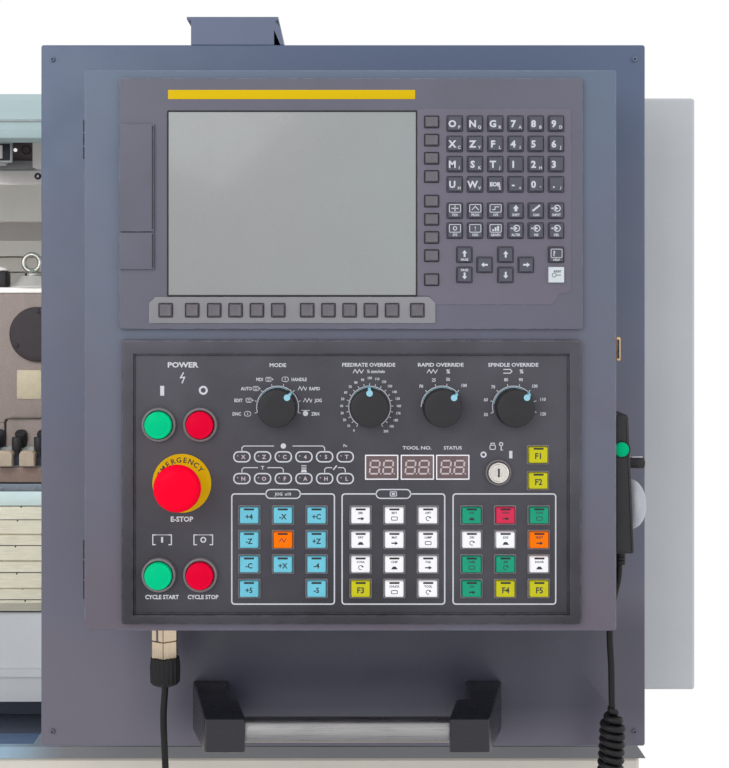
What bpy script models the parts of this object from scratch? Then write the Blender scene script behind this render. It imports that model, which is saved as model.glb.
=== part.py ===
"""Enclosed slant-bed CNC turning lathe with a sliding operator console.

Metres, +Z up, front towards -Y. The machine is laid out from a centre line
through the console (X = 0) and from the console's face (Y = 0), standing on
the floor (Z = 0). One root empty then moves everything so that the origin is
the bottom centre of the bounding box.
"""
import math

import bmesh
import bpy
from mathutils import Matrix, Vector

# Clearance between pieces that touch
GAP = 0.0003

# Base
BASE_LEFT = -1.500
BASE_RIGHT = 0.300
BASE_FRONT = 0.190
BASE_BACK = 1.000
BASE_TOP = 0.855
FOOT_HEIGHT = 0.055
FOOT_RADIUS = 0.034
TOE_HEIGHT = 0.120
TOE_DEPTH = 0.050
TRAY_HEIGHT = 0.012
TRAY_SLOPE = 0.008
TRAY_OVERHANG = 0.005

# Enclosure
COVER_FRONT = BASE_FRONT + 0.072
KICK_HEIGHT = 0.032
KICK_DEPTH = 0.023
COVER_HEIGHT = 0.688
ROOF_TOP = BASE_TOP + COVER_HEIGHT
ROOF_SHEET = 0.023
LIP_HEIGHT = 0.041
LIP_DEPTH = 0.038
OPENING_LEFT = -0.965
OPENING_RIGHT = -0.318
APRON_DEPTH = 0.038
GUIDE_RIB = 0.0037
GUIDE_HEIGHT = 0.008
LOWER_GUIDE = BASE_TOP + 0.060
APRON_TOP = LOWER_GUIDE + 0.069
UPPER_GUIDE = ROOF_TOP - 0.029
CURTAIN_DEPTH = COVER_FRONT + 0.138
CURTAIN_BOTTOM = ROOF_TOP - 0.069
LAMP_LEFT = OPENING_LEFT + 0.165
LAMP_FRONT = COVER_FRONT + 0.053
LAMP_DEPTH = 0.060
LAMP_CHAMFER = 0.012
LAMP_SHOULDER = ROOF_TOP - 0.049

# Chip trough in the base
TROUGH_FRONT = COVER_FRONT + 0.058
TROUGH_BACK = BASE_BACK - 0.015
TROUGH_FLOOR = BASE_TOP - 0.255
TROUGH_LEFT = OPENING_LEFT + 0.010
TROUGH_RIGHT = OPENING_RIGHT - 0.012

# Slant bed, with coordinates (x, up the slope, off the slope)
SLANT = math.radians(30.0)
BED_FOOT_Y = TROUGH_BACK - 0.385
BED_FOOT_Z = BASE_TOP - 0.0394
BED_BACK = TROUGH_BACK - 0.005
BED_RAIL_LOW = 0.080
BED_RAIL_HIGH = 0.360
BED_RAIL_WIDTH = 0.030
BED_RAIL_HEIGHT = 0.028

# Headstock, spindle and chuck
HEADSTOCK_WIDTH = 0.070
SPINDLE_UP = 0.1925
SPINDLE_OFF = 0.2432
CHUCK_RADIUS = 0.080
CHUCK_LENGTH = 0.070
CHUCK_BORE = 0.022
JAW_HEIGHT = 0.026
JAW_WIDTH = 0.024
JAW_REACH = 0.030

# Saddle, cross slide and turret
TURRET_X = OPENING_RIGHT - 0.132
SADDLE_HALF = 0.078
SADDLE_LOW = -0.012
SADDLE_HIGH = 0.430
SADDLE_TOP = 0.085
CROSS_RAIL_HEIGHT = 0.018
CROSS_RAIL_WIDTH = 0.020
CROSS_RAIL_SPREAD = 0.045
CROSS_HALF = 0.074
CROSS_LOW = 0.208
CROSS_THICK = 0.098
BOLT_PITCH = 0.0316
BOLT_RADIUS = 0.008
BOLT_HEIGHT = 0.018
HOUSING_HALF = 0.080
HOUSING_FRONT = BED_FOOT_Y + 0.140
HOUSING_BACK = HOUSING_FRONT + 0.190
HOUSING_TOP = BASE_TOP + 0.483
CAP_HEIGHT = 0.019
CAP_OVERHANG = 0.006
ROUND_COVER_RADIUS = 0.040
ROUND_COVER_Z = HOUSING_TOP - 0.074
EYE_RADIUS = 0.011
EYE_WIRE = 0.004
DISC_RADIUS = 0.095
DISC_WIDTH = 0.050
DISC_STATIONS = 12
TOOL_REACH = 0.030
DISC_Y = HOUSING_FRONT + 0.100
DISC_Z = BASE_TOP + 0.380

# Telescopic way cover below the cross slide
SLAT_COUNT = 4
SLAT_PITCH = 0.0512
SLAT_OVERLAP = 0.010
SLAT_SHEET = 0.0024
SLAT_STEP = 0.003
SLAT_HALF = 0.062
SLAT_LOW = 0.003
SLAT_LEVEL = 0.1065
SLAT_SKIRT = 0.012

# Sliding door, parked open behind the console
DOOR_LEFT = OPENING_RIGHT + 0.006
DOOR_RIGHT = DOOR_LEFT + 0.6785
DOOR_BOTTOM = LOWER_GUIDE - 0.0034
DOOR_TOP = UPPER_GUIDE + 0.0175
DOOR_THICK = 0.033
WINDOW_WIDTH = 0.340
WINDOW_HEIGHT = 0.330
WINDOW_SHIFT = 0.040
GRIP_WIDTH = 0.020
GRIP_DEPTH = 0.028
GRIP_HEIGHT = 0.300

# Electrical cabinet on the back
CABINET_LEFT = -1.050
CABINET_RIGHT = 0.150
CABINET_BOTTOM = 0.300
CABINET_TOP = ROOF_TOP - 0.043
CABINET_DEPTH = 0.190
CABINET_WALL = 0.040
CABINET_RIM = 0.030
CABINET_DOOR = 0.022
KNOB_DEPTH = 0.020

# Console position and main sizes
CONSOLE_X = 0.0043
FRONT_WIDTH = 0.4586
FRONT_HEIGHT = 0.482
FRONT_THICK = 0.022
BOX_WIDTH = 0.456
BOX_DEPTH = 0.0674
BOX_WALL = 0.006
PAN_WIDTH = 0.5646
PAN_HEIGHT = 0.6564
PAN_SHIFT_X = -0.0057
PAN_SHIFT_Y = -0.0467
PAN_DEPTH = 0.030
PAN_SHEET = 0.003
UPPER_RAIL_HEIGHT = 0.0155
CONSOLE_Z = ROOF_TOP + GAP + UPPER_RAIL_HEIGHT - PAN_HEIGHT / 2 - PAN_SHIFT_Y
TRUNK_LEFT = -0.1485
TRUNK_WIDTH = 0.0777
TRUNK_HEIGHT = 0.026
TRUNK_LIP = 0.004
CONSOLE_RAIL_HALF = 0.280
UPPER_RAIL_Y = COVER_FRONT + 0.053
UPPER_RAIL_WIDTH = 0.030
LOWER_RAIL_Y = BASE_FRONT + 0.015
LOWER_RAIL_WIDTH = 0.020
LOWER_RAIL_HEIGHT = 0.018
SHOE_HALF = 0.100

# Handle under the console
HANDLE_X = -0.0023
HANDLE_Y = PAN_SHIFT_Y - PAN_HEIGHT / 2 + 0.0381
BRACKET_ROOT_X = 0.128
BRACKET_LEAN = 0.0202
BRACKET_WIDTH = 0.033
BRACKET_ROOT_HEIGHT = 0.047
BRACKET_TIP_HEIGHT = 0.0305
BRACKET_LENGTH = 0.080
TUBE_RADIUS = 0.011
TUBE_INSET = 0.0165

# Screen unit on the console front
UNIT_WIDTH = 0.3983
UNIT_HEIGHT = 0.2155
UNIT_X = 0.0009
UNIT_Y = 0.1254
UNIT_THICK = 0.0042
SCREEN_WIDTH = 0.213
SCREEN_HEIGHT = 0.1586
SCREEN_X = -0.0496
SCREEN_Y = 0.1263
SCREEN_POCKET = 0.0024
FLAP_WIDTH = 0.0293
FLAP_HEIGHT = 0.0922
FLAP_X = -0.1828
FLAP_Y = 0.1474
FLAP_THICK = 0.0024
LOWER_FLAP_HEIGHT = 0.0319
KEY_RISE = 0.0028
MDI_KEY = 0.0132
MDI_PITCH = 0.01737
MDI_X = 0.0898
SOFTKEY = 0.0116

# Operator panel
PANEL_WIDTH = 0.3966
PANEL_HEIGHT = 0.2465
PANEL_Y = -0.1151
PANEL_FRAME = 0.0062
PANEL_FLOOR = 0.0032
PANEL_RIM = 0.0105
DIAL_Y = -0.0495
DIAL_X = (-0.0625, 0.0165, 0.079, 0.141)
DIAL_RADIUS = 0.0168
DIAL_HEIGHT = 0.014
BUTTON_LEFT = -0.164
BUTTON_RIGHT = -0.1285
BUTTON_UP = -0.0643
BUTTON_DOWN = -0.1932
BUTTON_RADIUS = 0.0116
BUTTON_RING = 0.0147
BUTTON_TRAVEL = 0.003
STOP_X = -0.1445
STOP_Y = -0.1148
STOP_RADIUS = 0.020
STOP_DISC = 0.0253
STOP_HEIGHT = 0.038
STOP_TRAVEL = 0.005
LOCK_X = 0.1274
LOCK_Y = -0.1054
LOCK_RADIUS = 0.0092
KEY_WIDTH = 0.0164
KEY_HEIGHT = 0.0138
KEY_COLUMN = 0.0289
KEY_ROW = 0.0210
KEY_TOP_ROW = -0.1421
KEY_BLOCKS = (-0.0576, 0.0380, 0.1332)
DISPLAY_X = (0.0272, 0.0579, 0.0883)
DISPLAY_Y = -0.1010

# Hand pendant on the right side of the box
PENDANT_BOTTOM = -0.184
PENDANT_TOP = -0.0576
PENDANT_THICK = 0.0283
PENDANT_DEPTH = 0.076
PENDANT_FRONT = 0.010
WHEEL_Y = -0.1411
WHEEL_Z = -0.048
WHEEL_RADIUS = 0.022
SELECTOR_Y = -0.1036
SELECTOR_SPREAD = 0.018
SELECTOR_RADIUS = 0.0068
ENABLE_X = 0.2435
ENABLE_POCKET = 0.003
ENABLE_Y = -0.0878
ENABLE_RADIUS = 0.0066

# Cord and its fittings
CORD_RADIUS = 0.003
COIL_RADIUS = 0.012
CORD_Z = -0.045
PLUG_X = -0.1671
PLUG_NUT_RADIUS = 0.0108
PLUG_NUT_LENGTH = 0.0178
PLUG_BODY_RADIUS = 0.0128
PLUG_BODY_LENGTH = 0.0243
SOCKET_LENGTH = 0.021
GLAND_X = 0.2423
GLAND_LENGTH = 0.010


def new_collection(name):
    """Collection linked to the scene."""
    group = bpy.data.collections.new(name)
    bpy.context.scene.collection.children.link(group)
    return group


def paint(name, colour, roughness, metallic=0.0):
    """Principled material of one plain colour."""
    made = bpy.data.materials.new(name)
    made.use_nodes = True
    shader = made.node_tree.nodes["Principled BSDF"]
    shader.inputs["Base Color"].default_value = (*colour, 1.0)
    shader.inputs["Roughness"].default_value = roughness
    shader.inputs["Metallic"].default_value = metallic
    made.diffuse_color = (*colour, 1.0)
    return made


def empty(name, parent, location, rotation=(0.0, 0.0, 0.0)):
    """Empty that carries a group of pieces."""
    holder = bpy.data.objects.new(name, None)
    holder.parent = parent
    holder.location = location
    holder.rotation_euler = rotation
    LATHE.objects.link(holder)
    return holder


def place(name, data, material, parent, location=(0.0, 0.0, 0.0), rotation=(0.0, 0.0, 0.0)):
    """Named object from mesh or curve data, with its material and its parent."""
    thing = bpy.data.objects.new(name, data)
    data.name = name
    thing.parent = parent
    thing.location = location
    thing.rotation_euler = rotation
    data.materials.append(material)
    LATHE.objects.link(thing)
    return thing


def bevel(thing, width, segments=2, angle=40.0):
    """Rounded edges where faces meet at more than the angle."""
    step = thing.modifiers.new("Bevel", "BEVEL")
    step.width = width
    step.segments = segments
    step.limit_method = "ANGLE"
    step.angle_limit = math.radians(angle)
    return thing


def block(name, material, parent, low, high, pivot=None, round_edge=0.0, segments=2):
    """Box between two corners in its parent's frame, with its origin at the pivot."""
    low = Vector(low)
    high = Vector(high)
    middle = (low + high) / 2
    origin = Vector(pivot) if pivot is not None else middle
    shape = bmesh.new()
    fit = Matrix.Translation(middle - origin) @ Matrix.Diagonal((*(high - low), 1.0))
    bmesh.ops.create_cube(shape, size=1.0, matrix=fit)
    data = bpy.data.meshes.new(name)
    shape.to_mesh(data)
    shape.free()
    thing = place(name, data, material, parent, origin)
    if round_edge > 0.0:
        bevel(thing, round_edge, segments)
    return thing


def blocks(name, material, parent, boxes, taper=1.0):
    """Several boxes (centre, size) in one tool mesh; the +Z end is scaled by the taper."""
    shape = bmesh.new()
    for centre, size in boxes:
        fit = Matrix.Translation(centre) @ Matrix.Diagonal((*size, 1.0))
        made = bmesh.ops.create_cube(shape, size=1.0, matrix=fit)
        for vert in made["verts"]:
            if vert.co.z > centre[2]:
                vert.co.x = centre[0] + (vert.co.x - centre[0]) * taper
                vert.co.y = centre[1] + (vert.co.y - centre[1]) * taper
    data = bpy.data.meshes.new(name)
    shape.to_mesh(data)
    shape.free()
    return place(name, data, material, parent)


def rod(name, material, parent, start, end, radius, sides=16):
    """Cylinder between two points of its parent's frame."""
    start = Vector(start)
    end = Vector(end)
    along = end - start
    shape = bmesh.new()
    bmesh.ops.create_cone(shape, cap_ends=True, cap_tris=False, segments=sides,
                          radius1=radius, radius2=radius, depth=along.length)
    data = bpy.data.meshes.new(name)
    shape.to_mesh(data)
    shape.free()
    thing = place(name, data, material, parent, (start + end) / 2)
    thing.rotation_euler = along.to_track_quat("Z", "Y").to_euler()
    smooth(thing)
    return thing


def smooth(thing, angle=35.0):
    """Smooth shading with sharp edges kept."""
    thing.data.shade_smooth()
    thing.data.set_sharp_from_angle(angle=math.radians(angle))


ALONG_X = (math.pi / 2, 0.0, math.pi / 2)
FACING_FRONT = (math.pi / 2, 0.0, 0.0)
FLAT = (0.0, 0.0, 0.0)


def prism(name, material, parent, outline, start, end, turn=ALONG_X, holes=(), pivot=(0.0, 0.0, 0.0)):
    """Flat outline pushed from start to end along its normal.

    With ALONG_X the outline is (y, z) and the normal +X, with FACING_FRONT it
    is (x, z) and the normal -Y, with FLAT it is (x, y) and the normal +Z.
    """
    curve = bpy.data.curves.new(name, "CURVE")
    curve.dimensions = "2D"
    curve.fill_mode = "BOTH"
    curve.extrude = (end - start) / 2
    for ring in (outline, *holes):
        spline = curve.splines.new("POLY")
        spline.points.add(len(ring) - 1)
        for point, (across, up) in zip(spline.points, ring):
            point.co = (across, up, 0.0, 1.0)
        spline.use_cyclic_u = True
    source = bpy.data.objects.new(name + "_outline", curve)
    bpy.context.scene.collection.objects.link(source)
    bpy.context.view_layer.update()
    data = bpy.data.meshes.new_from_object(source.evaluated_get(bpy.context.evaluated_depsgraph_get()))
    bpy.data.objects.remove(source, do_unlink=True)
    bpy.data.curves.remove(curve)
    shape = bmesh.new()
    shape.from_mesh(data)
    bmesh.ops.remove_doubles(shape, verts=shape.verts, dist=0.00001)
    bmesh.ops.translate(shape, verts=shape.verts, vec=(0.0, 0.0, (start + end) / 2))
    bmesh.ops.dissolve_limit(shape, angle_limit=0.001, verts=shape.verts, edges=shape.edges)
    basis = {ALONG_X: Matrix(((0, 0, 1), (1, 0, 0), (0, 1, 0))),
             FACING_FRONT: Matrix(((1, 0, 0), (0, 0, -1), (0, 1, 0))),
             FLAT: Matrix.Identity(3)}[turn]
    shape.transform(basis.to_4x4())
    bmesh.ops.translate(shape, verts=shape.verts, vec=-Vector(pivot))
    bmesh.ops.recalc_face_normals(shape, faces=shape.faces)
    shape.to_mesh(data)
    shape.free()
    data.materials.clear()
    return place(name, data, material, parent, pivot)


def turned(name, material, parent, profile, location, rotation=(0.0, 0.0, 0.0), steps=24, ring=False):
    """Profile (radius, height), outer side top to bottom, turned about local Z."""
    data = bpy.data.meshes.new(name)
    shape = bmesh.new()
    verts = [shape.verts.new((radius, 0.0, height)) for radius, height in profile]
    for first, second in zip(verts, verts[1:]):
        shape.edges.new((first, second))
    if ring:
        shape.edges.new((verts[-1], verts[0]))
    shape.to_mesh(data)
    shape.free()
    thing = place(name, data, material, parent, location, rotation)
    screw = thing.modifiers.new("Screw", "SCREW")
    screw.axis = "Z"
    screw.angle = 2 * math.pi
    screw.steps = steps
    screw.render_steps = steps
    screw.use_merge_vertices = True
    screw.merge_threshold = 0.00005
    screw.use_smooth_shade = True
    return thing


def tube(name, material, parent, points, radius, resolution=2):
    """Round tube through points, with closed ends."""
    curve = bpy.data.curves.new(name, "CURVE")
    curve.dimensions = "3D"
    curve.bevel_depth = radius
    curve.bevel_resolution = resolution
    curve.use_fill_caps = True
    spline = curve.splines.new("POLY")
    spline.points.add(len(points) - 1)
    for point, position in zip(spline.points, points):
        point.co = (*position, 1.0)
    return place(name, curve, material, parent)


def flow(knots, count):
    """Evenly parted points on a smooth curve through the knots."""
    ends = [2 * Vector(knots[0]) - Vector(knots[1])]
    ends += [Vector(knot) for knot in knots]
    ends.append(2 * ends[-1] - ends[-2])
    fine = []
    for before, first, second, after in zip(ends, ends[1:], ends[2:], ends[3:]):
        for part in range(20):
            t = part / 20
            fine.append(0.5 * ((2 * first) + (second - before) * t
                               + (2 * before - 5 * first + 4 * second - after) * t * t
                               + (3 * first - before - 3 * second + after) * t ** 3))
    fine.append(Vector(knots[-1]))
    lengths = [0.0]
    for first, second in zip(fine, fine[1:]):
        lengths.append(lengths[-1] + (second - first).length)
    picked = []
    index = 0
    for number in range(count):
        goal = lengths[-1] * number / (count - 1)
        while index < len(fine) - 2 and lengths[index + 1] < goal:
            index += 1
        span = lengths[index + 1] - lengths[index]
        picked.append(fine[index].lerp(fine[index + 1], min(1.0, (goal - lengths[index]) / span)))
    return picked


def as_tool(thing):
    """Moves a shape that only cuts or joins into the tools' collection."""
    for group in list(thing.users_collection):
        group.objects.unlink(thing)
    TOOLS.objects.link(thing)
    thing.hide_render = True
    thing.display_type = "WIRE"
    return thing


def boolean(thing, other, operation):
    """Exact Boolean with a shape that then becomes a tool."""
    step = thing.modifiers.new(operation.title(), "BOOLEAN")
    step.operation = operation
    step.solver = "EXACT"
    step.object = as_tool(other)
    return thing


def cut(thing, other):
    """Takes a shape away."""
    return boolean(thing, other, "DIFFERENCE")


def fuse(thing, other):
    """Adds a shape that overlaps the piece."""
    return boolean(thing, other, "UNION")


def base_profile():
    """Side view (y, z) of the base with its toe recess."""
    return [(BASE_FRONT, BASE_TOP), (BASE_FRONT, FOOT_HEIGHT + TOE_HEIGHT),
            (BASE_FRONT + TOE_DEPTH, FOOT_HEIGHT + TOE_HEIGHT - 0.02),
            (BASE_FRONT + TOE_DEPTH, FOOT_HEIGHT), (BASE_BACK, FOOT_HEIGHT), (BASE_BACK, BASE_TOP)]


def make_base(root):
    """Welded base with a chip trough and six levelling feet."""
    base = prism("base_frame", PAINTS["base"], root, base_profile(), BASE_LEFT, BASE_RIGHT)
    bevel(base, 0.004, 1, 30)
    cut(base, block("trough_cut", PAINTS["base"], root,
                    (TROUGH_LEFT, TROUGH_FRONT, TROUGH_FLOOR),
                    (TROUGH_RIGHT, TROUGH_BACK, BASE_TOP + 0.05)))
    foot = [(0.0, FOOT_HEIGHT + 0.01), (0.012, FOOT_HEIGHT + 0.01), (0.012, 0.018),
            (FOOT_RADIUS * 0.7, 0.016), (FOOT_RADIUS, 0.006), (FOOT_RADIUS, 0.0), (0.0, 0.0)]
    margin = FOOT_RADIUS + 0.03
    length = BASE_RIGHT - BASE_LEFT - 2 * margin
    for column in range(3):
        for row, depth in enumerate((BASE_FRONT + TOE_DEPTH + margin, BASE_BACK - margin)):
            spot = (BASE_LEFT + margin + length * column / 2, depth, 0.0)
            fuse(base, turned(f"foot_{column}_{row}", PAINTS["steel"], root, foot, spot, steps=14))
    tray = [(BASE_LEFT - TRAY_OVERHANG, BASE_TOP + GAP),
            (BASE_RIGHT + TRAY_OVERHANG, BASE_TOP + GAP),
            (BASE_RIGHT + TRAY_OVERHANG - TRAY_SLOPE, BASE_TOP + TRAY_HEIGHT),
            (BASE_LEFT - TRAY_OVERHANG + TRAY_SLOPE, BASE_TOP + TRAY_HEIGHT)]
    prism("drip_tray", PAINTS["trim"], root, tray, -(COVER_FRONT - GAP),
          -(BASE_FRONT - TRAY_OVERHANG), FACING_FRONT)


def cover_profile():
    """Side view (y, z) of an end cover, with its kick recess and lower door guide."""
    low = BASE_TOP + GAP
    return [(COVER_FRONT + KICK_DEPTH, low), (COVER_FRONT + KICK_DEPTH, low + KICK_HEIGHT),
            (COVER_FRONT, low + KICK_HEIGHT), (COVER_FRONT, LOWER_GUIDE),
            (COVER_FRONT - GUIDE_RIB, LOWER_GUIDE), (COVER_FRONT - GUIDE_RIB, LOWER_GUIDE + GUIDE_HEIGHT),
            (COVER_FRONT, LOWER_GUIDE + GUIDE_HEIGHT), (COVER_FRONT, ROOF_TOP - LIP_HEIGHT - GAP),
            (COVER_FRONT + LIP_DEPTH + GAP, ROOF_TOP - LIP_HEIGHT - GAP),
            (COVER_FRONT + LIP_DEPTH + GAP, ROOF_TOP - ROOF_SHEET - GAP),
            (BASE_BACK - GAP, ROOF_TOP - ROOF_SHEET - GAP), (BASE_BACK - GAP, low)]


def make_enclosure(root):
    """End covers, apron, rear wall, roof hood and work lamp."""
    prism("left_cover", PAINTS["shell"], root, cover_profile(), BASE_LEFT, OPENING_LEFT)
    prism("right_cover", PAINTS["shell"], root, cover_profile(), OPENING_RIGHT, BASE_RIGHT)
    low = BASE_TOP + GAP
    apron = [(COVER_FRONT + KICK_DEPTH, low), (COVER_FRONT + KICK_DEPTH, low + KICK_HEIGHT),
             (COVER_FRONT, low + KICK_HEIGHT), (COVER_FRONT, LOWER_GUIDE),
             (COVER_FRONT - GUIDE_RIB, LOWER_GUIDE), (COVER_FRONT - GUIDE_RIB, LOWER_GUIDE + GUIDE_HEIGHT),
             (COVER_FRONT, LOWER_GUIDE + GUIDE_HEIGHT), (COVER_FRONT, APRON_TOP - 0.004),
             (COVER_FRONT + 0.004, APRON_TOP), (COVER_FRONT + APRON_DEPTH - 0.004, APRON_TOP),
             (COVER_FRONT + APRON_DEPTH, APRON_TOP - 0.004), (COVER_FRONT + APRON_DEPTH, low)]
    prism("apron", PAINTS["shell"], root, apron, OPENING_LEFT + GAP, OPENING_RIGHT - GAP)
    under = ROOF_TOP - ROOF_SHEET - GAP
    face = BASE_BACK - 0.025
    wall = [(TROUGH_BACK + 0.001, low), (TROUGH_BACK + 0.001, BASE_TOP + 0.205), (face, BASE_TOP + 0.209),
            (face, ROOF_TOP - 0.152), (face - 0.015, ROOF_TOP - 0.149), (face - 0.015, ROOF_TOP - 0.132),
            (face - 0.030, ROOF_TOP - 0.129), (face - 0.030, ROOF_TOP - 0.091),
            (face - 0.045, ROOF_TOP - 0.088), (face - 0.045, under), (BASE_BACK - GAP, under),
            (BASE_BACK - GAP, low)]
    prism("rear_wall", PAINTS["shell"], root, wall, OPENING_LEFT + GAP, OPENING_RIGHT - GAP)
    hood = [(COVER_FRONT, ROOF_TOP - LIP_HEIGHT), (COVER_FRONT, UPPER_GUIDE),
            (COVER_FRONT - GUIDE_RIB, UPPER_GUIDE), (COVER_FRONT - GUIDE_RIB, UPPER_GUIDE + GUIDE_HEIGHT),
            (COVER_FRONT, UPPER_GUIDE + GUIDE_HEIGHT), (COVER_FRONT, ROOF_TOP - 0.007),
            (COVER_FRONT + 0.007, ROOF_TOP), (BASE_BACK, ROOF_TOP), (BASE_BACK, ROOF_TOP - ROOF_SHEET),
            (COVER_FRONT + LIP_DEPTH, ROOF_TOP - ROOF_SHEET),
            (COVER_FRONT + LIP_DEPTH, ROOF_TOP - LIP_HEIGHT)]
    roof = prism("roof_hood", PAINTS["shell"], root, hood, BASE_LEFT, BASE_RIGHT)
    fuse(roof, block("lamp_curtain", PAINTS["shell"], root,
                     (OPENING_LEFT + GAP, CURTAIN_DEPTH, CURTAIN_BOTTOM),
                     (OPENING_RIGHT - GAP, CURTAIN_DEPTH + 0.015, ROOF_TOP - ROOF_SHEET + 0.005)))
    back = LAMP_FRONT + LAMP_DEPTH
    foot = LAMP_SHOULDER - LAMP_CHAMFER
    lamp = [(LAMP_FRONT, under), (LAMP_FRONT, LAMP_SHOULDER), (LAMP_FRONT + LAMP_CHAMFER, foot),
            (back - LAMP_CHAMFER, foot), (back, LAMP_SHOULDER), (back, under)]
    prism("work_lamp", PAINTS["lamp"], root, lamp, LAMP_LEFT, OPENING_RIGHT - 0.018)


def slope_point(up, off):
    """World (y, z) of a point given up and off the slanted bed."""
    return (BED_FOOT_Y + up * math.cos(SLANT) - off * math.sin(SLANT),
            BED_FOOT_Z + up * math.sin(SLANT) + off * math.cos(SLANT))


def make_bed(root, slope):
    """Bed casting on the trough floor with two linear guide rails, and the headstock."""
    top_up = (BED_BACK - BED_FOOT_Y) / math.cos(SLANT)
    floor = TROUGH_FLOOR + GAP
    outline = [(BED_FOOT_Y, floor), (BED_FOOT_Y, BED_FOOT_Z), slope_point(top_up, 0.0), (BED_BACK, floor)]
    left = TROUGH_LEFT + GAP
    right = TROUGH_RIGHT - GAP
    bed = prism("slant_bed", PAINTS["cast"], root, outline, left, right)
    rail_left = left + HEADSTOCK_WIDTH + 0.002
    for number, up in enumerate((BED_RAIL_LOW, BED_RAIL_HIGH)):
        half = BED_RAIL_WIDTH / 2
        rail = [(up - half, -0.003), (up + half, -0.003), (up + half, 0.009), (up + half * 0.7, 0.012),
                (up + half * 0.7, 0.017), (up + half, 0.020), (up + half, BED_RAIL_HEIGHT),
                (up - half, BED_RAIL_HEIGHT), (up - half, 0.020), (up - half * 0.7, 0.017),
                (up - half * 0.7, 0.012), (up - half, 0.009)]
        fuse(bed, prism(f"bed_rail_{number}", PAINTS["steel"], slope, rail, rail_left, right))
    head = [(0.004, GAP), (0.340, GAP), (0.340, 0.200), (0.300, 0.320), (0.090, 0.340), (0.004, 0.280)]
    headstock = prism("headstock", PAINTS["cast"], slope, head, left, left + HEADSTOCK_WIDTH)
    bevel(headstock, 0.006, 1, 30)


def make_spindle(slope):
    """Three-jaw power chuck on the spindle nose; the jaws slide in its face."""
    front = TROUGH_LEFT + GAP + HEADSTOCK_WIDTH + GAP
    axis = (front, SPINDLE_UP, SPINDLE_OFF)
    face = CHUCK_LENGTH
    profile = [(CHUCK_BORE, face), (CHUCK_RADIUS * 0.45, face), (CHUCK_RADIUS - 0.004, face),
               (CHUCK_RADIUS, face - 0.004), (CHUCK_RADIUS, 0.022), (CHUCK_RADIUS * 0.8, 0.018),
               (CHUCK_RADIUS * 0.8, 0.0), (CHUCK_BORE, 0.0)]
    spindle = empty("spindle_axis", slope, axis, (0.0, math.pi / 2, 0.0))
    chuck = turned("chuck", PAINTS["steel"], spindle, profile, (0.0, 0.0, 0.0), steps=28, ring=True)
    slot = 0.008
    for number in range(3):
        angle = 2 * math.pi * number / 3
        arm = empty(f"jaw_axis_{number + 1}", spindle, (0.0, 0.0, face), (0.0, 0.0, angle))
        cut(chuck, block(f"jaw_slot_{number + 1}", PAINTS["steel"], arm,
                         (CHUCK_BORE - 0.01, -JAW_WIDTH / 2, -slot),
                         (CHUCK_RADIUS + 0.01, JAW_WIDTH / 2, 0.01)))
        inner = CHUCK_BORE + 0.006
        steps = [(inner, -slot + GAP), (CHUCK_RADIUS - 0.004, -slot + GAP),
                 (CHUCK_RADIUS - 0.004, JAW_HEIGHT * 0.4), (CHUCK_RADIUS - 0.020, JAW_HEIGHT * 0.4),
                 (CHUCK_RADIUS - 0.020, JAW_HEIGHT * 0.7), (inner + 0.012, JAW_HEIGHT * 0.7),
                 (inner + 0.012, JAW_HEIGHT), (inner, JAW_HEIGHT)]
        half = JAW_WIDTH / 2 - GAP
        prism(f"chuck_jaw_{number + 1}", PAINTS["steel"], arm, steps, -half, half, FACING_FRONT)


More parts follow.
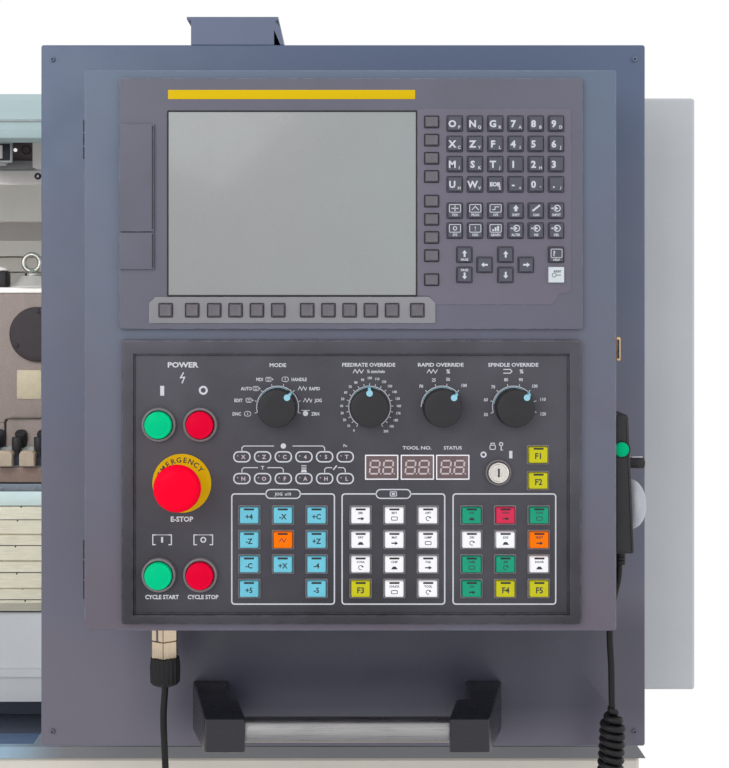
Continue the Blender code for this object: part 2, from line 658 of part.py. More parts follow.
def make_slides(root, slope):
    """Saddle, telescopic cover, cross slide, turret housing and turret disc."""
    low = BED_RAIL_HEIGHT + GAP
    body = [(SADDLE_LOW, low), (SADDLE_HIGH, low), (SADDLE_HIGH, SADDLE_TOP - 0.01),
            (SADDLE_HIGH - 0.01, SADDLE_TOP), (SADDLE_LOW + 0.01, SADDLE_TOP),
            (SADDLE_LOW, SADDLE_TOP - 0.01)]
    left = TURRET_X - SADDLE_HALF
    right = TURRET_X + SADDLE_HALF
    saddle = prism("saddle", PAINTS["cast"], slope, body, left, right)
    rail_top = SADDLE_TOP + CROSS_RAIL_HEIGHT
    for side in (-1, 1):
        middle = TURRET_X + side * CROSS_RAIL_SPREAD
        fuse(saddle, block(f"cross_rail_{side}", PAINTS["steel"], slope,
                           (middle - CROSS_RAIL_WIDTH / 2, 0.100, SADDLE_TOP - 0.003),
                           (middle + CROSS_RAIL_WIDTH / 2, SADDLE_HIGH - 0.012, rail_top)))
    for number in range(SLAT_COUNT):
        half = SLAT_HALF + number * SLAT_STEP
        level = SLAT_LEVEL + number * SLAT_STEP
        foot = SADDLE_TOP - 0.002 if number == 0 else level - SLAT_SKIRT
        section = [(TURRET_X - half, foot), (TURRET_X - half, level + SLAT_SHEET),
                   (TURRET_X + half, level + SLAT_SHEET), (TURRET_X + half, foot),
                   (TURRET_X + half - SLAT_SHEET, foot), (TURRET_X + half - SLAT_SHEET, level),
                   (TURRET_X - half + SLAT_SHEET, level), (TURRET_X - half + SLAT_SHEET, foot)]
        begin = SLAT_LOW + number * SLAT_PITCH - SLAT_OVERLAP
        finish = SLAT_LOW + (number + 1) * SLAT_PITCH - GAP
        name = "slat_root" if number == 0 else f"cover_slat_{number}"
        slat = prism(name, PAINTS["cream"], slope, section, -finish, -begin, FACING_FRONT)
        if number == 0:
            fuse(saddle, slat)
    off = rail_top + GAP
    top = off + CROSS_THICK
    plate = [(CROSS_LOW, off), (SADDLE_HIGH, off), (SADDLE_HIGH, top), (CROSS_LOW + 0.012, top),
             (CROSS_LOW, top - 0.012)]
    cross = prism("cross_slide", PAINTS["cast"], slope, plate, TURRET_X - CROSS_HALF, TURRET_X + CROSS_HALF)
    foot_up = (HOUSING_FRONT - BED_FOOT_Y + (top + GAP) * math.sin(SLANT)) / math.cos(SLANT)
    bolt_up = (CROSS_LOW + foot_up) / 2
    for number in range(4):
        across = TURRET_X + (number - 1.5) * BOLT_PITCH
        fuse(cross, rod(f"clamp_bolt_{number}", PAINTS["black"], slope, (across, bolt_up, top - 0.003),
                        (across, bolt_up, top + BOLT_HEIGHT), BOLT_RADIUS, 10))
    back_up = (HOUSING_BACK - BED_FOOT_Y + (top + GAP) * math.sin(SLANT)) / math.cos(SLANT)
    front_foot = slope_point(foot_up, top + GAP)
    back_foot = slope_point(back_up, top + GAP)
    outline = [front_foot, (HOUSING_FRONT, HOUSING_TOP), (HOUSING_BACK, HOUSING_TOP), back_foot]
    housing = prism("turret_housing", PAINTS["taupe"], root, outline,
                    TURRET_X - HOUSING_HALF, TURRET_X + HOUSING_HALF)
    bevel(housing, 0.006, 1, 30)
    cap = block("housing_cap", PAINTS["taupe"], root,
                (TURRET_X - HOUSING_HALF + 0.004, HOUSING_FRONT - CAP_OVERHANG, HOUSING_TOP - 0.002),
                (TURRET_X + HOUSING_HALF, HOUSING_BACK - 0.003, HOUSING_TOP + CAP_HEIGHT))
    fuse(housing, cap)
    lid = [(0.0, 0.010), (ROUND_COVER_RADIUS - 0.003, 0.010), (ROUND_COVER_RADIUS, 0.007),
           (ROUND_COVER_RADIUS, -0.003), (0.0, -0.003)]
    fuse(housing, turned("round_cover", PAINTS["black"], root, lid,
                         (TURRET_X, HOUSING_FRONT, ROUND_COVER_Z), FACING_FRONT, 24))
    eye_y = HOUSING_FRONT + 0.020
    cap_top = HOUSING_TOP + CAP_HEIGHT
    ring_z = cap_top + 0.006 + EYE_RADIUS + EYE_WIRE - 0.002
    eye = turned("eye_bolt", PAINTS["steel"], root,
                 [(EYE_RADIUS + EYE_WIRE * math.cos(turn), EYE_WIRE * math.sin(turn))
                  for turn in [math.pi / 2 - 2 * math.pi * part / 8 for part in range(8)]],
                 (TURRET_X - 0.009, eye_y, ring_z), FACING_FRONT, 20, ring=True)
    collar = [(0.0, 0.009), (0.005, 0.009), (0.0055, 0.006), (0.011, 0.005), (0.011, GAP), (0.0, GAP)]
    fuse(eye, turned("eye_collar", PAINTS["steel"], root, collar,
                     (TURRET_X - 0.009, eye_y, cap_top), steps=14))
    disc_right = TURRET_X - HOUSING_HALF - GAP
    centre = (disc_right - DISC_WIDTH, DISC_Y, DISC_Z)
    hub = empty("turret_axis", root, centre, (0.0, math.pi / 2, 0.0))
    face = [(0.0, DISC_WIDTH), (DISC_RADIUS - 0.008, DISC_WIDTH), (DISC_RADIUS, DISC_WIDTH - 0.008),
            (DISC_RADIUS, 0.006), (DISC_RADIUS - 0.006, 0.0), (DISC_RADIUS * 0.45, 0.0),
            (DISC_RADIUS * 0.42, -0.010), (0.0, -0.010)]
    disc = turned("turret_disc", PAINTS["steel"], hub, face, (0.0, 0.0, 0.0), steps=DISC_STATIONS * 2)
    for number in range(0, DISC_STATIONS, 2):
        angle = 2 * math.pi * number / DISC_STATIONS
        arm = empty(f"tool_arm_{number}", hub, (0.0, 0.0, 0.0), (0.0, 0.0, angle))
        holder = [(DISC_RADIUS - 0.012, -0.016), (DISC_RADIUS + 0.010, -0.016),
                  (DISC_RADIUS + 0.010, 0.002), (DISC_RADIUS + TOOL_REACH, 0.006),
                  (DISC_RADIUS + TOOL_REACH - 0.004, 0.014), (DISC_RADIUS - 0.012, 0.014)]
        fuse(disc, prism(f"tool_{number}", PAINTS["steel"], arm, holder, 0.012, DISC_WIDTH - 0.012, FLAT))


def make_door(root):
    """Sliding door with a bonded window and a pull grip on its closing edge."""
    front = COVER_FRONT - GUIDE_RIB - GAP - DOOR_THICK
    back = front + DOOR_THICK
    pivot = ((DOOR_LEFT + DOOR_RIGHT) / 2, (front + back) / 2, (DOOR_BOTTOM + DOOR_TOP) / 2)
    door = block("door_panel", PAINTS["shell"], root, (DOOR_LEFT, front, DOOR_BOTTOM),
                 (DOOR_RIGHT, back, DOOR_TOP), pivot, 0.003, 2)
    wx = (DOOR_LEFT + DOOR_RIGHT) / 2 - WINDOW_SHIFT
    wz = (DOOR_BOTTOM + DOOR_TOP) / 2 + WINDOW_SHIFT
    half_w = WINDOW_WIDTH / 2
    half_h = WINDOW_HEIGHT / 2
    opening = block("window_cut", PAINTS["shell"], root, (wx - half_w, front - 0.01, wz - half_h),
                    (wx + half_w, back + 0.01, wz + half_h))
    cut(door, opening)
    rim = 0.010
    cut(door, block("window_rebate", PAINTS["shell"], root,
                    (wx - half_w - rim, front - 0.01, wz - half_h - rim),
                    (wx + half_w + rim, front + 0.006, wz + half_h + rim)))
    block("door_window", PAINTS["glass"], root,
          (wx - half_w - rim + GAP, front + 0.001, wz - half_h - rim + GAP),
          (wx + half_w + rim - GAP, front + 0.006 - GAP, wz + half_h + rim - GAP))
    grip_x = DOOR_LEFT + 0.012
    middle = wz
    half = GRIP_HEIGHT / 2
    reach = front - GRIP_DEPTH
    outline = [(front + 0.003, middle - half), (reach, middle - half + 0.02), (reach, middle + half - 0.02),
               (front + 0.003, middle + half), (front + 0.003, middle + half - 0.022),
               (reach + 0.010, middle + half - 0.034), (reach + 0.010, middle - half + 0.034),
               (front + 0.003, middle - half + 0.022)]
    fuse(door, prism("door_grip", PAINTS["black"], root, outline, grip_x, grip_x + GRIP_WIDTH))


def make_cabinet(root):
    """Electrical cabinet on the back with a hinged door."""
    front = BASE_BACK + GAP
    back = BASE_BACK + CABINET_DEPTH
    cabinet = block("electrical_cabinet", PAINTS["shell"], root, (CABINET_LEFT, front, CABINET_BOTTOM),
                    (CABINET_RIGHT, back, CABINET_TOP))
    cut(cabinet, block("cabinet_cut", PAINTS["shell"], root,
                       (CABINET_LEFT + CABINET_RIM, BASE_BACK + CABINET_WALL, CABINET_BOTTOM + CABINET_RIM),
                       (CABINET_RIGHT - CABINET_RIM, back + 0.01, CABINET_TOP - CABINET_RIM)))
    outer = back + GAP + CABINET_DOOR
    door = block("cabinet_door", PAINTS["shell"], root, (CABINET_LEFT, back + GAP, CABINET_BOTTOM),
                 (CABINET_RIGHT, outer, CABINET_TOP), (CABINET_RIGHT, outer, CABINET_BOTTOM), 0.003, 2)
    for number, height in enumerate((0.25, 0.75)):
        spot = (CABINET_LEFT + 0.04, outer, CABINET_BOTTOM + (CABINET_TOP - CABINET_BOTTOM) * height)
        knob = [(0.0, KNOB_DEPTH), (0.014, KNOB_DEPTH), (0.017, KNOB_DEPTH - 0.004), (0.017, -0.003),
                (0.0, -0.003)]
        fuse(door, turned(f"cabinet_lock_{number}", PAINTS["black"], root, knob, spot,
                          (-math.pi / 2, 0.0, 0.0), 16))


def make_console_rails(root):
    """Guide rails that carry the sliding console on the roof and on the tray."""
    half = UPPER_RAIL_WIDTH / 2
    block("console_rail_upper", PAINTS["steel"], root,
          (-CONSOLE_RAIL_HALF, UPPER_RAIL_Y - half, ROOF_TOP + GAP),
          (CONSOLE_RAIL_HALF, UPPER_RAIL_Y + half, trunk_bottom() - GAP))
    half = LOWER_RAIL_WIDTH / 2
    tray_top = BASE_TOP + TRAY_HEIGHT
    block("console_rail_lower", PAINTS["steel"], root,
          (-CONSOLE_RAIL_HALF, LOWER_RAIL_Y - half, tray_top + GAP),
          (CONSOLE_RAIL_HALF, LOWER_RAIL_Y + half, tray_top + LOWER_RAIL_HEIGHT))


def trunk_bottom():
    """Height of the trunk's underside, which rests on the pan and on the upper rail."""
    return CONSOLE_Z + PAN_SHIFT_Y + PAN_HEIGHT / 2 + GAP


def pan_face():
    """Console depth of the pan's front face."""
    return -(FRONT_THICK + 2 * GAP + BOX_DEPTH)


def make_console_body(root, console):
    """Pan, box, cable trunk, handle and latch: the fixed part of the console."""
    face = pan_face()
    low = (PAN_SHIFT_X - PAN_WIDTH / 2, PAN_SHIFT_Y - PAN_HEIGHT / 2)
    high = (PAN_SHIFT_X + PAN_WIDTH / 2, PAN_SHIFT_Y + PAN_HEIGHT / 2)
    pan = block("console_pan", PAINTS["dark"], console, (*low, face - PAN_DEPTH), (*high, face),
                round_edge=0.004)
    cut(pan, block("pan_cut", PAINTS["dark"], console,
                   (low[0] + PAN_SHEET, low[1] + PAN_SHEET, face - PAN_DEPTH - 0.01),
                   (high[0] - PAN_SHEET, high[1] - PAN_SHEET, face - PAN_SHEET - 0.002)))
    pan_bottom = CONSOLE_Z + low[1]
    sheet = -face + PAN_SHEET - 0.001
    rail_top = BASE_TOP + TRAY_HEIGHT + LOWER_RAIL_HEIGHT
    arm_back = LOWER_RAIL_Y + LOWER_RAIL_WIDTH / 2 + 0.003
    arm_front = LOWER_RAIL_Y - LOWER_RAIL_WIDTH / 2 - 0.005
    reach_low = max(pan_bottom + PAN_SHEET + 0.001, rail_top + 0.021)
    reach_top = max(pan_bottom + 0.033, rail_top + 0.050)
    shoe = [(sheet, reach_low), (sheet, reach_top), (arm_back, reach_top), (arm_back, rail_top + GAP),
            (arm_front, rail_top + GAP), (arm_front, reach_low)]
    fuse(pan, prism("lower_shoe", PAINTS["dark"], root, shoe, -SHOE_HALF, SHOE_HALF))
    half = BOX_WIDTH / 2
    tall = FRONT_HEIGHT / 2
    box_front = -(FRONT_THICK + GAP)
    box = block("console_box", PAINTS["dark"], console, (-half, -tall, face + GAP), (half, tall, box_front),
                round_edge=0.003)
    cut(box, block("box_cut", PAINTS["dark"], console,
                   (-half + BOX_WALL, -tall + BOX_WALL, face + GAP + BOX_WALL),
                   (half - BOX_WALL, tall - BOX_WALL, box_front + 0.01)))
    fuse(box, block("pendant_holder", PAINTS["dark"], console,
                    (half - 0.001, PENDANT_BOTTOM + 0.012, face + 0.010),
                    (half + 0.002, PENDANT_TOP - 0.012, box_front - 0.008)))
    socket = [(0.0, 0.004), (0.016, 0.004), (0.016, -0.003), (0.0105, -0.004),
              (0.0105, -SOCKET_LENGTH), (0.0, -SOCKET_LENGTH)]
    fuse(box, turned("cord_socket", PAINTS["steel"], console, socket, (PLUG_X, -tall, CORD_Z),
                     (-math.pi / 2, 0.0, 0.0), 16))
    left = TRUNK_LEFT + CONSOLE_X
    right = left + TRUNK_WIDTH
    bottom = trunk_bottom()
    top = bottom + TRUNK_HEIGHT
    section = [(left, bottom), (left, top - 0.003), (left - TRUNK_LIP, top - 0.002), (left - TRUNK_LIP, top),
               (right + TRUNK_LIP, top), (right + TRUNK_LIP, top - 0.0025), (right + 0.001, top - 0.004),
               (right + 0.006, top - 0.010), (right + 0.009, bottom), (right + 0.006, bottom),
               (right, top - 0.012), (right, bottom)]
    rail_back = UPPER_RAIL_Y + UPPER_RAIL_WIDTH / 2
    rail_front = UPPER_RAIL_Y - UPPER_RAIL_WIDTH / 2
    trunk = prism("cable_trunk", PAINTS["dark"], root, section, -(rail_back + 0.010), face - 0.0005,
                  FACING_FRONT)
    for name, start in (("guide_front", rail_front - 0.0085), ("guide_back", rail_back + 0.0005)):
        fuse(trunk, block(name, PAINTS["dark"], root, (left + 0.004, start, bottom - 0.009),
                          (right - 0.004, start + 0.008, bottom + 0.004)))
    make_handle(console, face)
    latch_x = FRONT_WIDTH / 2 + 0.0004
    latch_pivot = (latch_x, 0.0045, -0.036)
    latch = block("console_latch", PAINTS["brass"], console, (latch_x, -0.0045, -0.045),
                  (latch_x + 0.003, 0.0135, -0.004), latch_pivot, 0.0008, 1)
    fuse(latch, rod("latch_boss", PAINTS["brass"], console, (half + GAP, 0.0045, -0.036),
                    (latch_x + 0.001, 0.0045, -0.036), 0.004, 12))


def make_handle(console, face):
    """Two brackets that narrow and lean inwards, and the tube between them."""
    for side, name in ((-1, "handle_bracket_left"), (1, "handle_bracket_right")):
        root_x = HANDLE_X + side * BRACKET_ROOT_X
        shape = bmesh.new()
        bmesh.ops.create_cube(shape, size=1.0)
        for vert in shape.verts:
            outer = vert.co.z > 0
            height = BRACKET_TIP_HEIGHT if outer else BRACKET_ROOT_HEIGHT
            vert.co.x = root_x + vert.co.x * BRACKET_WIDTH - (side * BRACKET_LEAN if outer else 0.0)
            vert.co.y = HANDLE_Y + vert.co.y * height
            vert.co.z = face + GAP + (BRACKET_LENGTH if outer else 0.0)
        data = bpy.data.meshes.new(name)
        shape.to_mesh(data)
        shape.free()
        bracket = place(name, data, PAINTS["black"], console)
        bevel(bracket, 0.003, 2)
    depth = face + GAP + BRACKET_LENGTH - TUBE_INSET
    share = 1.0 - TUBE_INSET / BRACKET_LENGTH
    inner = BRACKET_ROOT_X - BRACKET_LEAN * share - BRACKET_WIDTH / 2
    reach = inner - BRACKET_LEAN * TUBE_RADIUS / BRACKET_LENGTH - GAP
    ends = [(HANDLE_X + side * reach * part, HANDLE_Y, depth) for side, part in ((-1, 1), (1, 1))]
    tube("handle_tube", PAINTS["aluminium"], console, ends, TUBE_RADIUS, 10)


def make_front(console):
    """Hinged console front with its knuckles."""
    half = FRONT_WIDTH / 2
    tall = FRONT_HEIGHT / 2
    hinge_x = -half - 0.0042
    front = block("console_door", PAINTS["dark"], console, (-half, -tall, -FRONT_THICK), (half, tall, 0.0),
                  (hinge_x, 0.0, -FRONT_THICK), 0.003, 2)
    for number, (low, high) in enumerate(((0.1659, 0.1978), (-0.1944, -0.1513))):
        leaf = rod(f"knuckle_{number}", PAINTS["black"], console, (hinge_x, low, -FRONT_THICK + 0.001),
                   (hinge_x, high, -FRONT_THICK + 0.001), 0.0036, 12)
        fuse(front, leaf)
        fuse(front, block(f"leaf_{number}", PAINTS["black"], console,
                          (hinge_x, low + 0.001, -FRONT_THICK + 0.0035),
                          (-half + 0.004, high - 0.001, -FRONT_THICK + 0.0055)))


def key_grid(columns, rows, size, low, high):
    """Boxes (centre, size) of a field of keys standing from low to high."""
    middle = (low + high) / 2
    return [((x, y, middle), (size[0], size[1], high - low)) for x in columns for y in rows]


def make_screen_unit(console):
    """Screen unit: bezel with softkeys and keypad, screen glass and card slot cover."""
    back = GAP
    front = back + UNIT_THICK
    unit = block("cnc_bezel", PAINTS["bezel"], console,
                 (UNIT_X - UNIT_WIDTH / 2, UNIT_Y - UNIT_HEIGHT / 2, back),
                 (UNIT_X + UNIT_WIDTH / 2, UNIT_Y + UNIT_HEIGHT / 2, front), round_edge=0.001, segments=1)
    floor = front - SCREEN_POCKET
    half_w = SCREEN_WIDTH / 2
    half_h = SCREEN_HEIGHT / 2
    cut(unit, block("screen_cut", PAINTS["bezel"], console, (SCREEN_X - half_w, SCREEN_Y - half_h, floor),
                    (SCREEN_X + half_w, SCREEN_Y + half_h, front + 0.01)))
    block("screen", PAINTS["screen"], console,
          (SCREEN_X - half_w + GAP, SCREEN_Y - half_h + GAP, floor + GAP),
          (SCREEN_X + half_w - GAP, SCREEN_Y + half_h - GAP, front - 0.0004))
    strip = [(-0.1724, 0.0228), (0.0733, 0.0228), (0.0733, 0.0400), (0.0680, 0.0453), (-0.1671, 0.0453),
             (-0.1724, 0.0400)]
    fuse(unit, prism("softkey_plate", PAINTS["bezel"], console, strip, front - 0.001, front + 0.0012, FLAT))
    pad = [(0.0741, 0.0388), (0.1741, 0.0388), (0.1896, 0.0500), (0.1896, 0.2065), (0.0578, 0.2065),
           (0.0578, 0.0500)]
    fuse(unit, prism("keypad_plate", PAINTS["bezel"], console, pad, front - 0.001, front + 0.0008, FLAT))
    base = front - 0.0005
    top = front + 0.0008 + KEY_RISE
    columns = [MDI_X + number * MDI_PITCH for number in range(6)]
    rows = [0.1939 - number * MDI_PITCH for number in range(4)] + [0.1192, 0.1021]
    keys = key_grid(columns, rows, (MDI_KEY, MDI_KEY), base, top)
    middle = (base + top) / 2
    spots = [(0.0980, 0.0815), (0.0980, 0.0642), (0.1153, 0.0728), (0.1332, 0.0815), (0.1332, 0.0642),
             (0.1507, 0.0728), (0.1767, 0.0815), (0.1767, 0.0643)]
    keys += [((x, y, middle), (MDI_KEY, MDI_KEY, top - base)) for x, y in spots]
    soft = [-0.158 + 0.0227] + [-0.1164 + 0.0183 * number for number in range(4)]
    soft = [-0.158] + soft + [-0.0367 + 0.0182 * number for number in range(5)] + [0.0577]
    keys += key_grid(soft, [0.0339], (SOFTKEY, SOFTKEY), base, front + 0.0012 + KEY_RISE)
    side = [start - 0.0156 * number for start in (0.1954, 0.1275) for number in range(4)]
    keys += key_grid([0.0700], side + [0.0601], (0.0124, 0.0102), base, front + 0.0010 + KEY_RISE)
    fuse(unit, blocks("unit_keys", PAINTS["bezel"], console, keys, 0.82))
    flap_back = front + GAP
    flap_edge = FLAP_X - FLAP_WIDTH / 2
    block("slot_cover", PAINTS["bezel"], console,
          (flap_edge, FLAP_Y - FLAP_HEIGHT / 2, flap_back),
          (flap_edge + FLAP_WIDTH, FLAP_Y + FLAP_HEIGHT / 2, flap_back + FLAP_THICK),
          (flap_edge, FLAP_Y, flap_back + FLAP_THICK), 0.0006, 1)
    lower = FLAP_Y - FLAP_HEIGHT / 2 - 0.0008
    fuse(unit, block("lower_slot_cover", PAINTS["bezel"], console,
                     (flap_edge, lower - LOWER_FLAP_HEIGHT, base),
                     (flap_edge + FLAP_WIDTH, lower, flap_back + FLAP_THICK)))


def make_operator_panel(console):
    """Operator panel: bevelled frame, keys, display frames and control rings."""
    low = (-PANEL_WIDTH / 2, PANEL_Y - PANEL_HEIGHT / 2)
    high = (PANEL_WIDTH / 2, PANEL_Y + PANEL_HEIGHT / 2)
    panel = block("operator_panel", PAINTS["panel"], console, (*low, GAP), (*high, PANEL_FRAME),
                  round_edge=0.0015, segments=1)
    middle = (0.0, PANEL_Y, PANEL_FLOOR + 0.01)
    size = (PANEL_WIDTH - 2 * PANEL_RIM, PANEL_HEIGHT - 2 * PANEL_RIM, 0.02)
    cut(panel, blocks("panel_pocket", PAINTS["panel"], console, [(middle, size)], 1.06))
    base = PANEL_FLOOR - 0.001
    top = PANEL_FLOOR + 0.0045
    rows = [KEY_TOP_ROW - KEY_ROW * number for number in range(4)]
    keys = []
    for number, centre in enumerate(KEY_BLOCKS):
        columns = [centre + KEY_COLUMN * step for step in (-1, 0, 1)]
        field = key_grid(columns, rows, (KEY_WIDTH, KEY_HEIGHT), base, top)
        if number == 0:
            bare = (centre, rows[3])
            field = [key for key in field if math.dist(key[0][:2], bare) > 0.001]
        keys += field
    keys += key_grid([0.1614], [-0.0902, -0.1124], (KEY_WIDTH, KEY_HEIGHT), base, top)
    fuse(panel, blocks("panel_keys", PAINTS["panel"], console, keys, 0.90))
    frames = key_grid(DISPLAY_X, [DISPLAY_Y], (0.0283, 0.0212), base, PANEL_FLOOR + 0.0008)
    fuse(panel, blocks("display_frames", PAINTS["panel"], console, frames))
    for name, x, y, inner in (("ring_green", BUTTON_LEFT, BUTTON_UP, BUTTON_RADIUS),
                              ("ring_red", BUTTON_RIGHT, BUTTON_UP, BUTTON_RADIUS),
                              ("ring_start", BUTTON_LEFT, BUTTON_DOWN, BUTTON_RADIUS),
                              ("ring_stop", BUTTON_RIGHT, BUTTON_DOWN, BUTTON_RADIUS)):
        bore = inner + 0.0004
        ring = [(bore, 0.0050), (BUTTON_RING - 0.0015, 0.0050), (BUTTON_RING, 0.0034), (BUTTON_RING, -0.001),
                (bore, -0.001)]
        fuse(panel, turned(name, PAINTS["black"], console, ring, (x, y, PANEL_FLOOR), steps=20, ring=True))
    lock_bore = LOCK_RADIUS + 0.0004
    lock_ring = [(lock_bore, 0.0030), (lock_bore + 0.0014, 0.0030), (lock_bore + 0.0020, 0.0020),
                 (lock_bore + 0.0020, -0.001), (lock_bore, -0.001)]
    fuse(panel, turned("lock_ring", PAINTS["steel"], console, lock_ring, (LOCK_X, LOCK_Y, PANEL_FLOOR),
                       steps=16, ring=True))
    collar = 0.0098
    stop_ring = [(collar, 0.0130), (0.0125, 0.0130), (0.0130, 0.0014), (STOP_DISC, 0.0010),
                 (STOP_DISC, -0.001), (collar, -0.001)]
    fuse(panel, turned("stop_disc", PAINTS["yellow"], console, stop_ring, (STOP_X, STOP_Y, PANEL_FLOOR),
                       steps=24, ring=True))


def make_controls(console):
    """Rotary switches, emergency stop, push buttons and key switch."""
    floor = PANEL_FLOOR + GAP
    for name, x in zip(("mode_knob", "feed_knob", "rapid_knob", "spindle_knob"), DIAL_X):
        profile = [(0.0, DIAL_HEIGHT), (DIAL_RADIUS * 0.88, DIAL_HEIGHT),
                   (DIAL_RADIUS * 0.92, DIAL_HEIGHT - 0.001), (DIAL_RADIUS * 0.94, 0.0035),
                   (DIAL_RADIUS * 0.98, 0.0025), (DIAL_RADIUS, 0.0), (0.0, 0.0)]
        turned(name, PAINTS["black"], console, profile, (x, DIAL_Y, floor), steps=24)
    for name, colour, x, y in (("power_on_button", "green", BUTTON_LEFT, BUTTON_UP),
                               ("power_off_button", "red", BUTTON_RIGHT, BUTTON_UP),
                               ("cycle_start_button", "green", BUTTON_LEFT, BUTTON_DOWN),
                               ("cycle_stop_button", "red", BUTTON_RIGHT, BUTTON_DOWN)):
        rise = BUTTON_TRAVEL + 0.0004
        cap = [(0.0, 0.0098), (BUTTON_RADIUS * 0.6, 0.0095), (BUTTON_RADIUS * 0.9, 0.0085),
               (BUTTON_RADIUS, 0.0070), (BUTTON_RADIUS, rise), (0.0, rise)]
        turned(name, PAINTS[colour], console, cap, (x, y, floor), steps=20)
    stem = 0.0094
    low = STOP_TRAVEL + 0.0008
    head = [(0.0, STOP_HEIGHT), (STOP_RADIUS * 0.55, STOP_HEIGHT - 0.0008),
            (STOP_RADIUS * 0.85, STOP_HEIGHT - 0.0035), (STOP_RADIUS, STOP_HEIGHT - 0.0085),
            (STOP_RADIUS * 0.97, STOP_HEIGHT - 0.0125), (STOP_RADIUS * 0.80, STOP_HEIGHT - 0.0165),
            (0.0125, STOP_HEIGHT - 0.0190), (stem, STOP_HEIGHT - 0.0190), (stem, low), (0.0, low)]
    turned("emergency_stop", PAINTS["red"], console, head, (STOP_X, STOP_Y, floor), steps=24)
    barrel = [(0.0, 0.0045), (LOCK_RADIUS - 0.001, 0.0045), (LOCK_RADIUS, 0.0035), (LOCK_RADIUS, 0.0),
              (0.0, 0.0)]
    lock = turned("key_switch", PAINTS["chrome"], console, barrel, (LOCK_X, LOCK_Y, floor), steps=20)
    cut(lock, block("key_slot", PAINTS["chrome"], console,
                    (LOCK_X - 0.0012, LOCK_Y - 0.0050, floor + 0.0030),
                    (LOCK_X + 0.0012, LOCK_Y + 0.0050, floor + 0.0080)))


def make_pendant(console):
    """Hand pendant in its holder: body, wheel, two selectors and enabling button."""
    left = BOX_WIDTH / 2 + 0.002 + GAP
    right = left + PENDANT_THICK
    back = -(PENDANT_FRONT + PENDANT_DEPTH)
    side = [(left, PENDANT_BOTTOM), (right, PENDANT_BOTTOM), (right, SELECTOR_Y + 0.03),
            (right - 0.004, PENDANT_TOP), (left, PENDANT_TOP)]
    body = prism("pendant_body", PAINTS["black"], console, side, back, -PENDANT_FRONT, FLAT)
    bevel(body, 0.003, 2, 30)
    cut(body, rod("enable_pocket", PAINTS["black"], console,
                  (ENABLE_X, ENABLE_Y, -PENDANT_FRONT - ENABLE_POCKET), (ENABLE_X, ENABLE_Y, 0.01),
                  ENABLE_RADIUS + 0.0004, 16))
    gland = [(0.0, 0.004), (0.005, 0.004), (0.0055, -GLAND_LENGTH + 0.003), (0.0042, -GLAND_LENGTH),
             (0.0, -GLAND_LENGTH)]
    fuse(body, turned("pendant_gland", PAINTS["black"], console, gland, (GLAND_X, PENDANT_BOTTOM, CORD_Z),
                      (-math.pi / 2, 0.0, 0.0), 12))
    faces_right = (0.0, math.pi / 2, 0.0)
    wheel = [(0.0, 0.0070), (0.0070, 0.0070), (0.0080, 0.0050), (WHEEL_RADIUS - 0.005, 0.0050),
             (WHEEL_RADIUS - 0.003, 0.0100), (WHEEL_RADIUS - 0.0008, 0.0100), (WHEEL_RADIUS, 0.0085),
             (WHEEL_RADIUS, 0.0020), (WHEEL_RADIUS - 0.002, 0.0), (0.0, 0.0)]
    wheel_piece = turned("pendant_wheel", PAINTS["aluminium"], console, wheel,
                         (right + GAP, WHEEL_Y, WHEEL_Z), faces_right, 28)
    crank_y = WHEEL_Y + WHEEL_RADIUS * 0.55
    fuse(wheel_piece, rod("crank_knob", PAINTS["black"], console, (right + 0.003, crank_y, WHEEL_Z),
                          (right + 0.013, crank_y, WHEEL_Z), 0.0035, 10))
    for name, side in (("pendant_axis_knob", 1), ("pendant_step_knob", -1)):
        knob = [(0.0, 0.0085), (SELECTOR_RADIUS - 0.001, 0.0085), (SELECTOR_RADIUS, 0.0075),
                (SELECTOR_RADIUS, 0.0), (0.0, 0.0)]
        turned(name, PAINTS["black"], console, knob,
               (right + GAP, SELECTOR_Y, WHEEL_Z + side * SELECTOR_SPREAD), faces_right, 14)
    cap = [(0.0, 0.0040), (ENABLE_RADIUS - 0.0015, 0.0036), (ENABLE_RADIUS, 0.0020), (ENABLE_RADIUS, 0.0),
           (0.0, 0.0)]
    turned("pendant_button", PAINTS["green"], console, cap,
           (ENABLE_X, ENABLE_Y, -PENDANT_FRONT - ENABLE_POCKET / 2), steps=16)


